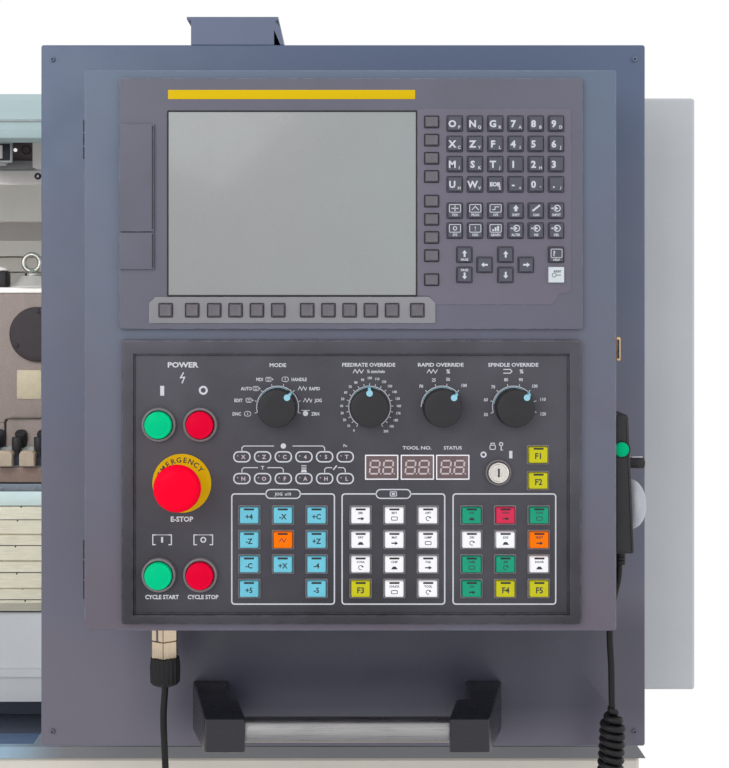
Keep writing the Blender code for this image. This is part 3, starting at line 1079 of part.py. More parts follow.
def make_cord(console):
    """Plug, straight leads and the curly stretch between them."""
    top = -FRONT_HEIGHT / 2 - SOCKET_LENGTH - GAP
    nut = top - PLUG_NUT_LENGTH
    end = nut - PLUG_BODY_LENGTH
    profile = [(0.0, top), (PLUG_NUT_RADIUS, top), (PLUG_NUT_RADIUS, top - 0.0080),
               (PLUG_NUT_RADIUS - 0.001, top - 0.0085), (PLUG_NUT_RADIUS - 0.001, top - 0.0095),
               (PLUG_NUT_RADIUS, top - 0.0100), (PLUG_NUT_RADIUS, nut), (PLUG_BODY_RADIUS, nut - 0.001),
               (PLUG_BODY_RADIUS, end + 0.010), (PLUG_BODY_RADIUS * 0.72, end + 0.002),
               (CORD_RADIUS + 0.002, end), (0.0, end)]
    turned("cord_plug", PAINTS["black"], console, profile, (PLUG_X, 0.0, CORD_Z),
           (-math.pi / 2, 0.0, 0.0), 18)
    start = PENDANT_BOTTOM - GLAND_LENGTH - GAP
    lead = [(GLAND_X, start, CORD_Z), (0.2412, -0.2090, CORD_Z), (0.2358, -0.2330, CORD_Z),
            (0.2338, -0.2573, CORD_Z), (0.2352, -0.2873, CORD_Z), (0.2357, -0.3190, CORD_Z)]
    lead_points = flow(lead, 12)
    tube("cord_lead_pendant", PAINTS["black"], console, lead_points, CORD_RADIUS, 2)
    coil = [*leave(lead_points, 0.030), (0.2330, -0.4000, CORD_Z), (0.2290, -0.5000, CORD_Z),
            (0.2200, -0.6000, CORD_Z), (0.1900, -0.6750, CORD_Z), (0.1400, -0.7080, CORD_Z)]
    coil_points = flow(coil, 22)
    tube("cord_coil", PAINTS["black"], console, coil_points, COIL_RADIUS, 2)
    free = [*leave(coil_points, 0.030), (0.0600, -0.7230, CORD_Z), (-0.0150, -0.6900, CORD_Z),
            (-0.0850, -0.6250, CORD_Z), (-0.1330, -0.5400, CORD_Z), (-0.1600, -0.4300, CORD_Z),
            (-0.1680, -0.3450, CORD_Z), (PLUG_X, end - GAP, CORD_Z)]
    tube("cord_lead_plug", PAINTS["black"], console, flow(free, 46), CORD_RADIUS, 2)


def leave(points, reach):
    """First two knots of a stretch that carries on straight from the end of another."""
    heading = (points[-1] - points[-2]).normalized()
    return [points[-1] + heading * 2 * GAP, points[-1] + heading * reach]


def build():
    """Whole lathe under one root that puts the origin at the bottom centre."""
    left = BASE_LEFT - TRAY_OVERHANG
    right = max(DOOR_RIGHT, BASE_RIGHT + TRAY_OVERHANG)
    front = -(PANEL_FLOOR + GAP + STOP_HEIGHT)
    back = BASE_BACK + CABINET_DEPTH + GAP + CABINET_DOOR + KNOB_DEPTH
    root = empty("machine_root", None, (-(left + right) / 2, -(front + back) / 2, 0.0))
    slope = empty("slope_frame", root, (0.0, BED_FOOT_Y, BED_FOOT_Z), (SLANT, 0.0, 0.0))
    console = empty("console_frame", root, (CONSOLE_X, 0.0, CONSOLE_Z), FACING_FRONT)
    make_base(root)
    make_enclosure(root)
    make_bed(root, slope)
    make_spindle(slope)
    make_slides(root, slope)
    make_door(root)
    make_cabinet(root)
    make_console_rails(root)
    make_console_body(root, console)
    make_front(console)
    make_screen_unit(console)
    make_operator_panel(console)
    make_controls(console)
    make_pendant(console)
    make_cord(console)


for old in list(bpy.data.objects):
    bpy.data.objects.remove(old, do_unlink=True)
LATHE = new_collection("cnc_turning_lathe")
TOOLS = new_collection("cutters")
PAINTS = {
    "shell": paint("shell_grey", (0.62, 0.66, 0.66), 0.45),
    "base": paint("base_cream", (0.70, 0.70, 0.66), 0.5),
    "trim": paint("trim_blue_grey", (0.42, 0.46, 0.50), 0.4),
    "cast": paint("casting_grey", (0.45, 0.47, 0.48), 0.55),
    "steel": paint("machined_steel", (0.55, 0.55, 0.56), 0.35, 1.0),
    "cream": paint("slat_cream", (0.72, 0.69, 0.60), 0.4),
    "taupe": paint("housing_taupe", (0.36, 0.33, 0.31), 0.5),
    "lamp": paint("lamp_grey", (0.80, 0.82, 0.82), 0.3),
    "glass": paint("window_glass", (0.10, 0.12, 0.13), 0.1),
    "dark": paint("console_blue_grey", (0.085, 0.085, 0.12), 0.45),
    "bezel": paint("bezel_grey", (0.095, 0.092, 0.115), 0.45),
    "screen": paint("screen_grey", (0.36, 0.37, 0.34), 0.3),
    "panel": paint("panel_charcoal", (0.05, 0.048, 0.055), 0.5),
    "black": paint("black_plastic", (0.02, 0.02, 0.022), 0.4),
    "green": paint("button_green", (0.02, 0.45, 0.20), 0.3),
    "red": paint("button_red", (0.75, 0.02, 0.03), 0.3),
    "yellow": paint("stop_yellow", (0.80, 0.55, 0.03), 0.45),
    "brass": paint("latch_brass", (0.60, 0.45, 0.25), 0.35, 1.0),
    "aluminium": paint("brushed_aluminium", (0.70, 0.71, 0.72), 0.35, 1.0),
    "chrome": paint("lock_chrome", (0.75, 0.75, 0.76), 0.15, 1.0),
}
build()
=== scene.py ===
"""Looks of an enclosed slant-bed CNC turning lathe with a sliding operator console.

Everything is drawn in millimetres, in one of four frames. The console frame has x to
the right, y up and z out of the console's front face. The machine frame has x to the
right, y backwards from that face and z up from the floor. The slope frame lies on the
30 degree bed, and the cabinet frame on the back wall inside the cabinet.
"""
import math

import bpy
import numpy as np
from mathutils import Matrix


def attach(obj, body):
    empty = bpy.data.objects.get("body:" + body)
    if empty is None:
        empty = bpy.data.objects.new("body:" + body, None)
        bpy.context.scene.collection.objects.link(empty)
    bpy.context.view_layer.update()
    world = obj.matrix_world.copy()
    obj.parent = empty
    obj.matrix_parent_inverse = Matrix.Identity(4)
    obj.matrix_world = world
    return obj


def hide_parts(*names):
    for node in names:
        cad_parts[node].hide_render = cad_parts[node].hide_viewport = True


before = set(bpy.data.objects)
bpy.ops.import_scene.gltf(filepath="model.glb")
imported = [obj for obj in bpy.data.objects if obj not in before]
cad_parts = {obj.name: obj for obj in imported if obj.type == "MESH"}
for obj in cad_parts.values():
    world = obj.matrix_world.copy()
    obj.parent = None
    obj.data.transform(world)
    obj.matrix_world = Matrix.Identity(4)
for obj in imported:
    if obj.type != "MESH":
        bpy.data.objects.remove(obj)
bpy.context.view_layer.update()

CONSOLE_X = 573.55
FACE_Y = -595.4
CONSOLE_Z = 1277.3
MACHINE_X = 569.25


# Frames

def console(points):
    """Console millimetres to the model's metres: (x, y, z) becomes (x, -z, y), then moved."""
    p = np.asarray(points, float).reshape(-1, 3)
    return np.stack([p[:, 0] + CONSOLE_X, FACE_Y - p[:, 2], p[:, 1] + CONSOLE_Z], 1) / 1000


def machine(points):
    """Machine millimetres to the model's metres: only moved."""
    p = np.asarray(points, float).reshape(-1, 3)
    return (p + (MACHINE_X, FACE_Y, 0.0)) / 1000


def slope(points):
    """Millimetres (x, up the bed, off the bed) of the 30 degree slope: turned about x, then moved."""
    p = np.asarray(points, float).reshape(-1, 3)
    lean = math.radians(30)
    return machine(np.stack([p[:, 0], 600 + p[:, 1] * math.cos(lean) - p[:, 2] * math.sin(lean),
                             815.6 + p[:, 1] * math.sin(lean) + p[:, 2] * math.cos(lean)], 1))


def cabinet(points):
    """Console-like millimetres to the cabinet's back wall, 2.5 times as large and facing backwards."""
    p = np.asarray(points, float).reshape(-1, 3)
    return machine(np.stack([-450 - 2.5 * p[:, 0], 1040.6 + 2.5 * (p[:, 2] + 83.6), 900 + 2.5 * p[:, 1]], 1))


# Outlines, each a function of how far it is drawn inwards

def rounded(width, height, radius, steps=4):
    """Rectangle with quarter-circle corners: corner centre + radius * (cos t, sin t)."""
    def at(inset):
        r = max(radius - inset, 0.02)
        t = (np.arange(4)[:, None] + np.linspace(0, 1, steps + 1)) * math.pi / 2
        mid = np.array([[1, 1], [-1, 1], [-1, -1], [1, -1]])[:, None] * (width / 2 - inset - r,
                                                                        height / 2 - inset - r)
        return (mid + r * np.stack([np.cos(t), np.sin(t)], -1)).reshape(-1, 2)
    return at


def polygon(corners):
    """Straight-sided outline; drawn inwards, each corner moves along the mitre of its two sides."""
    corners = np.array(corners, float)
    side = np.roll(corners, -1, 0) - corners
    side /= np.linalg.norm(side, axis=1)[:, None]
    inwards = np.stack([-side[:, 1], side[:, 0]], 1)
    before = np.roll(inwards, 1, 0)
    mitre = (inwards + before) / (1 + (inwards * before).sum(1))[:, None]
    return lambda inset: corners + mitre * inset


def circle(radius, steps):
    """Circle of radius less the inset."""
    t = np.arange(steps) * 2 * math.pi / steps
    return lambda inset: (radius - inset) * np.stack([np.cos(t), np.sin(t)], 1)


def soft_edge(low, high, radius, steps=4):
    """Profile rows (inset, z): a wall from low, then a quarter circle over to the top at high."""
    t = np.linspace(0, math.pi / 2, steps + 1)
    rows = np.stack([radius * (1 - np.cos(t)), high - radius * (1 - np.sin(t))], 1)
    return [(0.0, low), *rows.tolist()]


def strip_faces(rings, around, closed=True):
    """Quads between neighbouring rings of an outline of so many points."""
    a = np.arange(around if closed else around - 1)
    b = (a + 1) % around
    start = (np.arange(rings - 1) * around)[:, None]
    return np.stack([start + a, start + b, start + around + b, start + around + a], -1).reshape(-1, 4)


# Turns of a shape drawn along z: x to +x, left to -x, up to +y, down to -y, side to -x with its y along z
AXES = {"z": np.eye(3),
        "x": np.array([[0, 0, 1], [0, 1, 0], [-1, 0, 0]]),
        "left": np.array([[0, 0, -1], [0, 1, 0], [1, 0, 0]]),
        "up": np.array([[1, 0, 0], [0, 0, 1], [0, -1, 0]]),
        "down": np.array([[1, 0, 0], [0, 0, -1], [0, 1, 0]]),
        "side": np.array([[0, 0, -1], [-1, 0, 0], [0, 1, 0]])}
# Letters already drawn, and the height of a capital in the built-in face
LETTERS = {}
CAPITAL = 0.729
# Rows of a profile nearer to each other than this, in millimetres, make a rounded rim
RIM_ROWS = 1.3


def letters(word, bold=0.02):
    """Flat triangles of a word from the plain built-in face; capitals are 1 tall, middle at (0, 0)."""
    if (word, bold) not in LETTERS:
        curve = bpy.data.curves.new("word", "FONT")
        curve.body = word
        curve.align_x = "CENTER"
        curve.resolution_u = 2
        curve.offset = bold
        source = bpy.data.objects.new("word", curve)
        bpy.context.scene.collection.objects.link(source)
        bpy.context.view_layer.update()
        mesh = bpy.data.meshes.new_from_object(source.evaluated_get(bpy.context.evaluated_depsgraph_get()))
        points = np.empty(len(mesh.vertices) * 3)
        mesh.vertices.foreach_get("co", points)
        faces = [list(face.vertices) for face in mesh.polygons]
        LETTERS[word, bold] = points.reshape(-1, 3) / CAPITAL - (0.0, 0.5, 0.0), faces
        bpy.data.objects.remove(source)
        bpy.data.meshes.remove(mesh)
    return LETTERS[word, bold]


class Piece:
    """Collects surfaces in one drawing frame and makes them one named mesh object."""

    def __init__(self, name, body, *finishes, slot, into=console, replaces=(), sharp=35):
        self.name, self.body, self.finishes, self.into = name, body, finishes, into
        self.slot, self.replaces, self.sharp = slot, replaces, sharp
        self.points, self.faces, self.tints, self.rims, self.count = [], [], [], [], 0

    def add(self, points, faces, tint=0, rim=None):
        """Points (n, 3) and faces that number them, in one of the finishes."""
        points = np.asarray(points, float).reshape(-1, 3)
        self.points.append(points)
        self.faces += [[v + self.count for v in face] for face in
                       (faces.tolist() if isinstance(faces, np.ndarray) else faces)]
        self.tints += [tint] * len(faces)
        self.rims.append(np.zeros(len(points)) if rim is None else np.asarray(rim, float))
        self.count += len(points)

    def plate(self, outline, profile, at=(0, 0, 0), axis="z", tint=0, hollow=False, spots=None):
        """Profile rows (inset, z) carried round an outline, with flat ends, or closed on itself."""
        rings = [outline(row[0]) for row in profile]
        around = len(rings[0])
        points = np.concatenate([np.column_stack([ring, np.full(around, row[1])])
                                 for ring, row in zip(rings, profile)])
        rows = len(profile)
        faces = strip_faces(rows, around).tolist()
        if hollow:
            last = strip_faces(2, around)
            last[:, :2] += (rows - 1) * around
            last[:, 2:] -= around
            faces += last.tolist()
        else:
            faces += [list(range(around))[::-1], list(range((rows - 1) * around, rows * around))]
        gaps = np.hypot(*np.diff(np.array(profile, float), axis=0).T)
        rim = np.zeros(rows)
        rim[1:-1] = (gaps[:-1] < RIM_ROWS) & (gaps[1:] < RIM_ROWS)
        points = points @ AXES[axis].T
        for spot in ([(0, 0, 0)] if spots is None else spots):
            move = np.array([*spot, 0.0][:3]) + np.array([*at, 0.0][:3])
            self.add(points + move, faces, tint, np.repeat(rim, around))

    def turned(self, profile, at=(0, 0, 0), axis="z", steps=32, tint=0, hollow=False, spots=None):
        """Profile rows (radius, height) turned about an axis."""
        self.plate(circle(0.0, steps), [(-radius, height) for radius, height in profile],
                   at, axis, tint, hollow, spots)

    def box(self, low, high, edge, tint=0, steps=2):
        """Block between two corners with rounded vertical and top and bottom edges."""
        low, high = np.array(low, float), np.array(high, float)
        size, mid = high - low, (low + high) / 2
        edge = min(edge, size.min() * 0.45)
        t = np.linspace(0, math.pi / 2, steps + 1)
        top = [(edge * (1 - math.cos(v)), size[2] / 2 - edge * (1 - math.sin(v))) for v in t]
        rows = [(inset, -z) for inset, z in top[::-1]] + top
        self.plate(rounded(size[0], size[1], edge, steps), rows, mid, tint=tint)

    def tube(self, path, side, radius, around, tint=0):
        """Circle carried along a path: p + r * (cos t * u + sin t * v), u the side squared to the path."""
        path = np.asarray(path, float)
        along = np.gradient(path, axis=0)
        along /= np.linalg.norm(along, axis=1)[:, None]
        u = np.broadcast_to(np.asarray(side, float), path.shape)
        u = u - (u * along).sum(1)[:, None] * along
        u = u / np.linalg.norm(u, axis=1)[:, None]
        v = np.cross(along, u)
        t = np.arange(around) * 2 * math.pi / around
        radius = np.broadcast_to(radius, len(path))[:, None, None]
        ring = np.cos(t)[None, :, None] * u[:, None] + np.sin(t)[None, :, None] * v[:, None]
        points = (path[:, None] + radius * ring).reshape(-1, 3)
        faces = strip_faces(len(path), around).tolist()
        faces += [list(range(around))[::-1], list(range(len(points) - around, len(points)))]
        self.add(points, faces, tint)

    def prism(self, outline, start, end, tint=0):
        """Side view (y, z) of a sheet or bar pushed along x from start to end."""
        outline = np.asarray(outline, float)
        after = np.roll(outline, -1, 0)
        if (outline[:, 0] * after[:, 1] - outline[:, 1] * after[:, 0]).sum() < 0:
            outline = outline[::-1]
        points = np.concatenate([np.column_stack([np.full(len(outline), x), outline]) for x in (start, end)])
        faces = strip_faces(2, len(outline)).tolist()
        faces += [list(range(len(outline)))[::-1], list(range(len(outline), 2 * len(outline)))]
        self.add(points, faces, tint)

    def band(self, outline, width, z, at, tint=0):
        """Flat printed line of a width along an outline."""
        out, back = outline(-width / 2), outline(width / 2)
        points = np.concatenate([out, back]) + at
        self.add(np.column_stack([points, np.full(len(points), z)]), strip_faces(2, len(out)), tint)

    def stroke(self, path, width, z, tint=0):
        """Flat printed line of a width along an open path; corners are mitred."""
        path = np.asarray(path, float)
        side = np.diff(path, axis=0)
        side /= np.linalg.norm(side, axis=1)[:, None]
        right = np.stack([side[:, 1], -side[:, 0]], 1)
        first, last = np.concatenate([right[:1], right]), np.concatenate([right, right[-1:]])
        mitre = (first + last) / (1 + (first * last).sum(1))[:, None] * width / 2
        points = np.concatenate([path + mitre, path - mitre])
        self.add(np.column_stack([points, np.full(len(points), z)]),
                 strip_faces(2, len(path), closed=False), tint)

    def patch(self, corners, z, tint=0):
        """Flat printed patch with its corners in order against the clock."""
        corners = np.asarray(corners, float)
        face = [list(range(len(corners)))]
        self.add(np.column_stack([corners, np.full(len(corners), z)]), face, tint)

    def word(self, text, at, tall, z, tint=0, wide=1.0, heavy=0.0):
        """Printed word: letters scaled to a height, wide stretches them sideways."""
        points, faces = letters(text, round(0.012 + heavy * 0.35 / tall, 3))
        self.add(points * (tall * wide, tall, 0.0) + (*at, z), faces, tint)

    def done(self):
        """Mesh object at the origin, riding on its body."""
        mesh = bpy.data.meshes.new(self.name)
        points = self.into(np.concatenate(self.points))
        mesh.from_pydata(points.tolist(), [], self.faces)
        mesh.update()
        for finish in self.finishes:
            mesh.materials.append(finish)
        mesh.polygons.foreach_set("material_index", np.array(self.tints, "i"))
        rim = mesh.attributes.new("rim", "FLOAT", "POINT")
        rim.data.foreach_set("value", np.concatenate(self.rims).astype("f"))
        mesh.shade_smooth()
        mesh.set_sharp_from_angle(angle=math.radians(self.sharp))
        piece = bpy.data.objects.new(self.name, mesh)
        bpy.context.scene.collection.objects.link(piece)
        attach(piece, self.body)
        if self.replaces:
            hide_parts(*self.replaces)
        return piece


# Finishes

def tone(red, green, blue):
    """Screen colour from 0 to 255 as linear light."""
    c = np.array([red, green, blue]) / 255
    return tuple(np.where(c <= 0.04045, c / 12.92, ((c + 0.055) / 1.055) ** 2.4).tolist())


class Wire:
    """A shader socket that sums and products can be written with."""

    def __init__(self, finish, socket):
        self.finish, self.socket = finish, socket

    def __add__(self, other):
        return self.finish.node("ShaderNodeMath", {"operation": "ADD"}, {0: self, 1: other})

    def __mul__(self, other):
        return self.finish.node("ShaderNodeMath", {"operation": "MULTIPLY"}, {0: self, 1: other})


class Finish:
    """One material; its numbers that stay the same are set on the shader itself."""

    def __init__(self, name, roughness, metallic=0.0, **fixed):
        self.material = bpy.data.materials.new(name)
        self.material.use_nodes = True
        self.tree = self.material.node_tree
        self.shader = self.tree.nodes["Principled BSDF"]
        self.shader.inputs["Roughness"].default_value = roughness
        self.shader.inputs["Metallic"].default_value = metallic
        for key, value in fixed.items():
            self.shader.inputs[key.replace("_", " ").title().replace("Ior", "IOR")].default_value = value

    def node(self, kind, settings=None, sockets=None, out=0):
        """New node: its settings first, then the values or links of its sockets."""
        made = self.tree.nodes.new(kind)
        for key, value in (settings or {}).items():
            setattr(made, key, value)
        for key, value in (sockets or {}).items():
            if isinstance(value, Wire):
                self.tree.links.new(value.socket, made.inputs[key])
            else:
                made.inputs[key].default_value = value
        return Wire(self, made.outputs[out])

    def where(self, stretch=(1, 1, 1)):
        """Place on the piece in metres, stretched for grain that runs one way."""
        place = self.node("ShaderNodeTexCoord", out="Object")
        return self.node("ShaderNodeMapping", {}, {"Vector": place, "Scale": stretch})

    def noise(self, size, detail, stretch=(1, 1, 1)):
        """Cloudy value about 0.5 with spots of a size in millimetres."""
        return self.node("ShaderNodeTexNoise", {}, {"Vector": self.where(stretch), "Scale": 1000.0 / size,
                                                    "Detail": detail, "Roughness": 0.6})

    def spread(self, value, low, high, start=0.0, end=1.0):
        """Value from low..high carried to start..end, and held there."""
        return self.node("ShaderNodeMapRange", {}, {"Value": value, "From Min": low, "From Max": high,
                                                    "To Min": start, "To Max": end})

    def rim(self):
        """1 on rounded edges and 0 on flats."""
        return self.node("ShaderNodeAttribute", {"attribute_name": "rim"}, out="Fac")

    def blend(self, share, first, second):
        """Colour between two colours."""
        first, second = [v if isinstance(v, Wire) else (*v, 1.0) for v in (first, second)]
        return self.node("ShaderNodeMix", {"data_type": "RGBA"}, {0: share, 6: first, 7: second}, out=2)

    def feed(self, **links):
        """Links into the shader's sockets."""
        for key, value in links.items():
            self.tree.links.new(value.socket, self.shader.inputs[key.replace("_", " ").title()])
        return self

    def bump(self, height, depth, strength):
        """Fine relief of a depth in millimetres."""
        return self.feed(normal=self.node("ShaderNodeBump", {}, {"Height": height, "Distance": depth / 1000,
                                                                 "Strength": strength}))


def shade(colour, factor):
    """Colour made lighter or darker."""
    return tuple(min(c * factor, 1.0) for c in colour)


def textured_paint(name, colour, grain, depth, roughness, wear, blotch):
    """Stove enamel with an orange-peel grain, slow unevenness, handling marks and rubbed edges."""
    f = Finish(name, roughness, specular_ior_level=0.3)
    slow = f.spread(f.noise(140, 4), 0.3, 0.7)
    base = f.blend(slow, shade(colour, 1 - blotch), shade(colour, 1 + blotch))
    fleck = f.spread(f.noise(grain * 0.7, 1), 0.4, 0.7)
    base = f.blend(fleck * 0.2, base, shade(colour, 1.35))
    rubbed = f.rim() * f.spread(f.noise(9, 4), 0.42, 0.62) * wear
    base = f.blend(rubbed, base, shade(colour, 2.2))
    f.feed(base_color=base, roughness=f.spread(f.noise(35, 5), 0.25, 0.75, roughness - 0.08, roughness + 0.1))
    f.bump(f.noise(grain, 2), depth, 0.6)
    return f.material


def moulded(name, colour, roughness, grain, depth, dirt, coat=0.0, glow=0.0, gloss=0.35):
    """Moulded plastic: fine spark grain, slight dirt in patches and paler rubbed rims."""
    f = Finish(name, roughness, coat_weight=coat, coat_roughness=0.08, specular_ior_level=gloss)
    patch = f.spread(f.noise(11, 5), 0.45, 0.75) * dirt
    base = f.blend(patch, colour, shade(colour, 0.62))
    base = f.blend(f.rim() * f.spread(f.noise(5, 3), 0.4, 0.7) * 0.25, base, shade(colour, 1.7))
    f.feed(base_color=base, roughness=f.spread(f.noise(6, 5), 0.3, 0.7, roughness - 0.07, roughness + 0.12))
    # Glow makes the plastic give off light: a lamp in the diode window and the lit lenses, painted light on
    # the lamp post, turret cap, stop red and the orange and ivory keys.
    if glow:
        f.shader.inputs["Emission Strength"].default_value = glow
        f.feed(emission_color=f.blend(patch, colour, shade(colour, 0.8)))
    f.bump(f.noise(grain, 2), depth, 0.5)
    return f.material


def brushed(name, colour, stretch, roughness, depth, stain, metallic=1.0):
    """Metal with scratches drawn out one way, stains and slight tarnish."""
    f = Finish(name, roughness, metallic)
    line = f.noise(1.2, 3, stretch)
    tarnish = f.spread(f.noise(28, 5), 0.4, 0.75) * stain
    base = f.blend(tarnish, f.blend(f.spread(line, 0.3, 0.7), shade(colour, 0.86), shade(colour, 1.08)),
                   shade(colour, 0.55))
    f.feed(base_color=base, roughness=f.spread(line, 0.3, 0.7, roughness - 0.08, roughness + 0.12))
    f.bump(line, depth, 0.5)
    return f.material


def printed(name, colour, worn=0.35, roughness=0.45, gloss=0.4):
    """Screen ink, thin in places."""
    f = Finish(name, roughness, specular_ior_level=gloss)
    f.feed(base_color=f.blend(f.spread(f.noise(1.6, 4), 0.5, 0.8) * worn, colour, shade(colour, 0.5)))
    f.bump(f.noise(0.3, 2), 0.01, 0.4)
    return f.material


def cast_iron(name, colour, roughness=0.6):
    """Painted casting: coarse skin, oil streaks and dull patches."""
    f = Finish(name, roughness)
    skin = f.noise(2.4, 6)
    oil = f.spread(f.noise(30, 5, (1, 1, 0.3)), 0.5, 0.72)
    clean = f.blend(f.spread(skin, 0.3, 0.7), shade(colour, 0.88), shade(colour, 1.1))
    f.feed(base_color=f.blend(oil * 0.5, clean, shade(colour, 0.55)),
           roughness=f.spread(oil, 0, 1, roughness, roughness - 0.25))
    f.bump(skin, 0.12, 0.6)
    return f.material


def enamel_with_painted_reflection(name, top, low, sheen=0.5, roughness=0.42, dark=0.0):
    """Structured dark enamel with a painted reflection, lighter and bluer towards the top and darker towards
    the bottom; orange-peel grain, rubbed edges, satin sheen; dark paints a shadow under the console box.
    """
    f = Finish(name, roughness, specular_ior_level=sheen)
    height = f.node("ShaderNodeSeparateXYZ", {}, {0: f.where()}, out="Z")
    across = f.node("ShaderNodeSeparateXYZ", {}, {0: f.where()}, out="X")
    slow = f.spread(f.noise(160, 4), 0.3, 0.7, -0.12, 0.12)
    # Painted reflection: colour runs from low at the bottom to top at the top, standing for lit surroundings
    # mirrored in the satin paint.
    base = f.blend(f.spread(height + slow, 1.02, 1.52), low, top)
    # Painted shadow: darker band low on the pan under the console box and handle, weaker towards the right.
    if dark:
        under = f.spread(height, 1.05, 1.01) * f.spread(height, 0.90, 0.94)
        base = f.blend(under * f.spread(across, 0.36, 0.46) * f.spread(across, 0.74, 0.82, dark, dark * 0.6),
                       base, tone(36, 36, 50))
    base = f.blend(f.spread(f.noise(0.42, 1), 0.4, 0.7) * 0.2, base, shade(top, 1.1))
    base = f.blend(f.rim() * f.spread(f.noise(9, 4), 0.42, 0.62) * 0.25, base, shade(top, 1.7))
    f.feed(base_color=base,
           roughness=f.spread(f.noise(35, 5), 0.25, 0.75, roughness - 0.06, roughness + 0.08))
    f.bump(f.noise(0.6, 2), 0.05, 0.6)
    return f.material


def tray_shadow_paint():
    """Tray enamel, pale blue at the open end, and greyer under the console as a painted shadow."""
    f = Finish("tray_painted_shadow_enamel", 0.38, specular_ior_level=0.3)
    along = f.node("ShaderNodeSeparateXYZ", {}, {0: f.where()}, out="X")
    # Painted shadow of the console: grey from where the console stands over the tray.
    share = f.spread(along + f.noise(60, 4) * 0.03, 0.24, 0.30)
    f.feed(base_color=f.blend(share, tone(158, 184, 202), tone(126, 126, 128)),
           roughness=f.spread(f.noise(30, 5), 0.25, 0.75, 0.32, 0.48))
    f.bump(f.noise(0.7, 2), 0.03, 0.6)
    return f.material


# Console, pan and panel paints: the first colour is the painted reflection at the top, the second the darker
# bottom.
CONSOLE_REFLECTION_GREY = enamel_with_painted_reflection("console_enamel_painted_reflection", tone(98, 112, 132), tone(100, 90, 101))
# The pan's last number, 0.9, is the strength of its painted shadow under the console box.
PAN_SHADOW_GREY = enamel_with_painted_reflection("pan_enamel_painted_shadow", tone(78, 94, 122), tone(106, 100, 112), 0.6, 0.38, 0.9)
TRUNK_GREY = textured_paint("trunk_paint", tone(113, 121, 144), 0.55, 0.05, 0.42, 0.35, 0.1)
UNIT_GREY = textured_paint("screen_unit_plate", tone(104, 103, 116), 0.4, 0.02, 0.45, 0.4, 0.08)
INSET_GREY = textured_paint("keypad_inset", tone(112, 107, 120), 0.4, 0.02, 0.5, 0.4, 0.08)
STRIP_GREY = textured_paint("softkey_strip", tone(140, 138, 142), 0.4, 0.02, 0.5, 0.4, 0.08)
PANEL_REFLECTION_GREY = enamel_with_painted_reflection("panel_film_painted_reflection", tone(102, 98, 107), tone(42, 42, 48), 0.35, 0.5)
SHELL = textured_paint("enclosure_enamel", tone(204, 206, 208), 0.8, 0.03, 0.38, 0.1, 0.05)
HOOD = textured_paint("hood_enamel", tone(184, 204, 204), 0.8, 0.03, 0.38, 0.1, 0.05)
INNER = textured_paint("inner_wall_enamel", tone(184, 178, 171), 0.8, 0.03, 0.4, 0.1, 0.06)
BASE_CREAM = textured_paint("base_enamel", tone(224, 216, 203), 0.8, 0.03, 0.4, 0.1, 0.06)
TRAY_SHADOWED_BLUE = tray_shadow_paint()
CAST = cast_iron("bed_casting", tone(150, 153, 154))
TAUPE = cast_iron("turret_housing_paint", tone(128, 116, 111), 0.55)
SLAT_CREAM = brushed("way_cover_slat", tone(212, 205, 186), (0.05, 1, 1), 0.42, 0.008, 0.25, 0.0)
STEEL = brushed("machined_steel", tone(176, 176, 178), (1, 0.06, 0.06), 0.3, 0.012, 0.3)
ALUMINIUM = brushed("brushed_aluminium", tone(158, 157, 158), (0.03, 1, 1), 0.3, 0.012, 0.12)
CHROME = brushed("lock_chrome", tone(222, 218, 212), (1, 1, 1), 0.16, 0.004, 0.15)
NICKEL = brushed("connector_nickel", tone(210, 192, 167), (1, 1, 0.08), 0.28, 0.01, 0.2)
BRASS = brushed("latch_brass", tone(214, 176, 128), (1, 1, 0.1), 0.3, 0.01, 0.25)
BLACK = moulded("black_moulding", tone(40, 38, 41), 0.45, 0.3, 0.02, 0.3)
GLOSS_BLACK = moulded("bracket_black", tone(30, 30, 38), 0.3, 0.5, 0.02, 0.2, 0.3)
RUBBER = moulded("cord_rubber", tone(26, 25, 27), 0.45, 0.5, 0.02, 0.25, 0.0, 0.0, 0.25)
WHITE_INK = printed("white_print", tone(214, 214, 220))
DIM_INK = printed("dim_print", tone(206, 190, 192), 0.25)
DARK_INK = printed("dark_print", tone(46, 50, 56), 0.2)
BLUE_INK = printed("pale_blue_print", tone(152, 208, 226), 0.15)
STRIPE = printed("yellow_stripe", tone(228, 190, 8), 0.12, 0.45, 0.1)

LAMP_GREY = moulded("lamp_housing", tone(186, 190, 190), 0.35, 0.6, 0.01, 0.2)
HOLLOW = moulded("dark_hollow", tone(44, 46, 54), 0.5, 0.6, 0.01, 0.2)
SEAL = moulded("door_seal_rubber", tone(38, 38, 40), 0.55, 0.5, 0.02, 0.2)
SLOPE_BLUE = textured_paint("way_cover_blue_enamel", tone(222, 246, 255), 0.8, 0.03, 0.38, 0.1, 0.05)
SLIDE_BROWN = cast_iron("slide_front", tone(154, 132, 126), 0.5)
GUARD_BLUE = textured_paint("guard_grey_blue", tone(130, 140, 155), 0.8, 0.03, 0.4, 0.1, 0.06)
# Darker copy of the inner wall enamel: painted shade on the recessed board under the top board.
BOARD_SHADE = textured_paint("recessed_board_painted_shade", tone(146, 140, 137), 0.8, 0.03, 0.42, 0.1, 0.08)
RECESS_RED = textured_paint("lamp_recess_primer", tone(92, 78, 82), 0.8, 0.03, 0.5, 0.1, 0.2)
SHELF_GREY = textured_paint("lamp_shelf", tone(132, 129, 130), 0.8, 0.03, 0.45, 0.1, 0.1)
# The lamp post glows though it is no lamp: painted light in the shade under the hood.
POST_GLOW_GREY = moulded("painted_glow_post", tone(170, 166, 163), 0.45, 0.6, 0.01, 0.15, 0.0, 0.32)
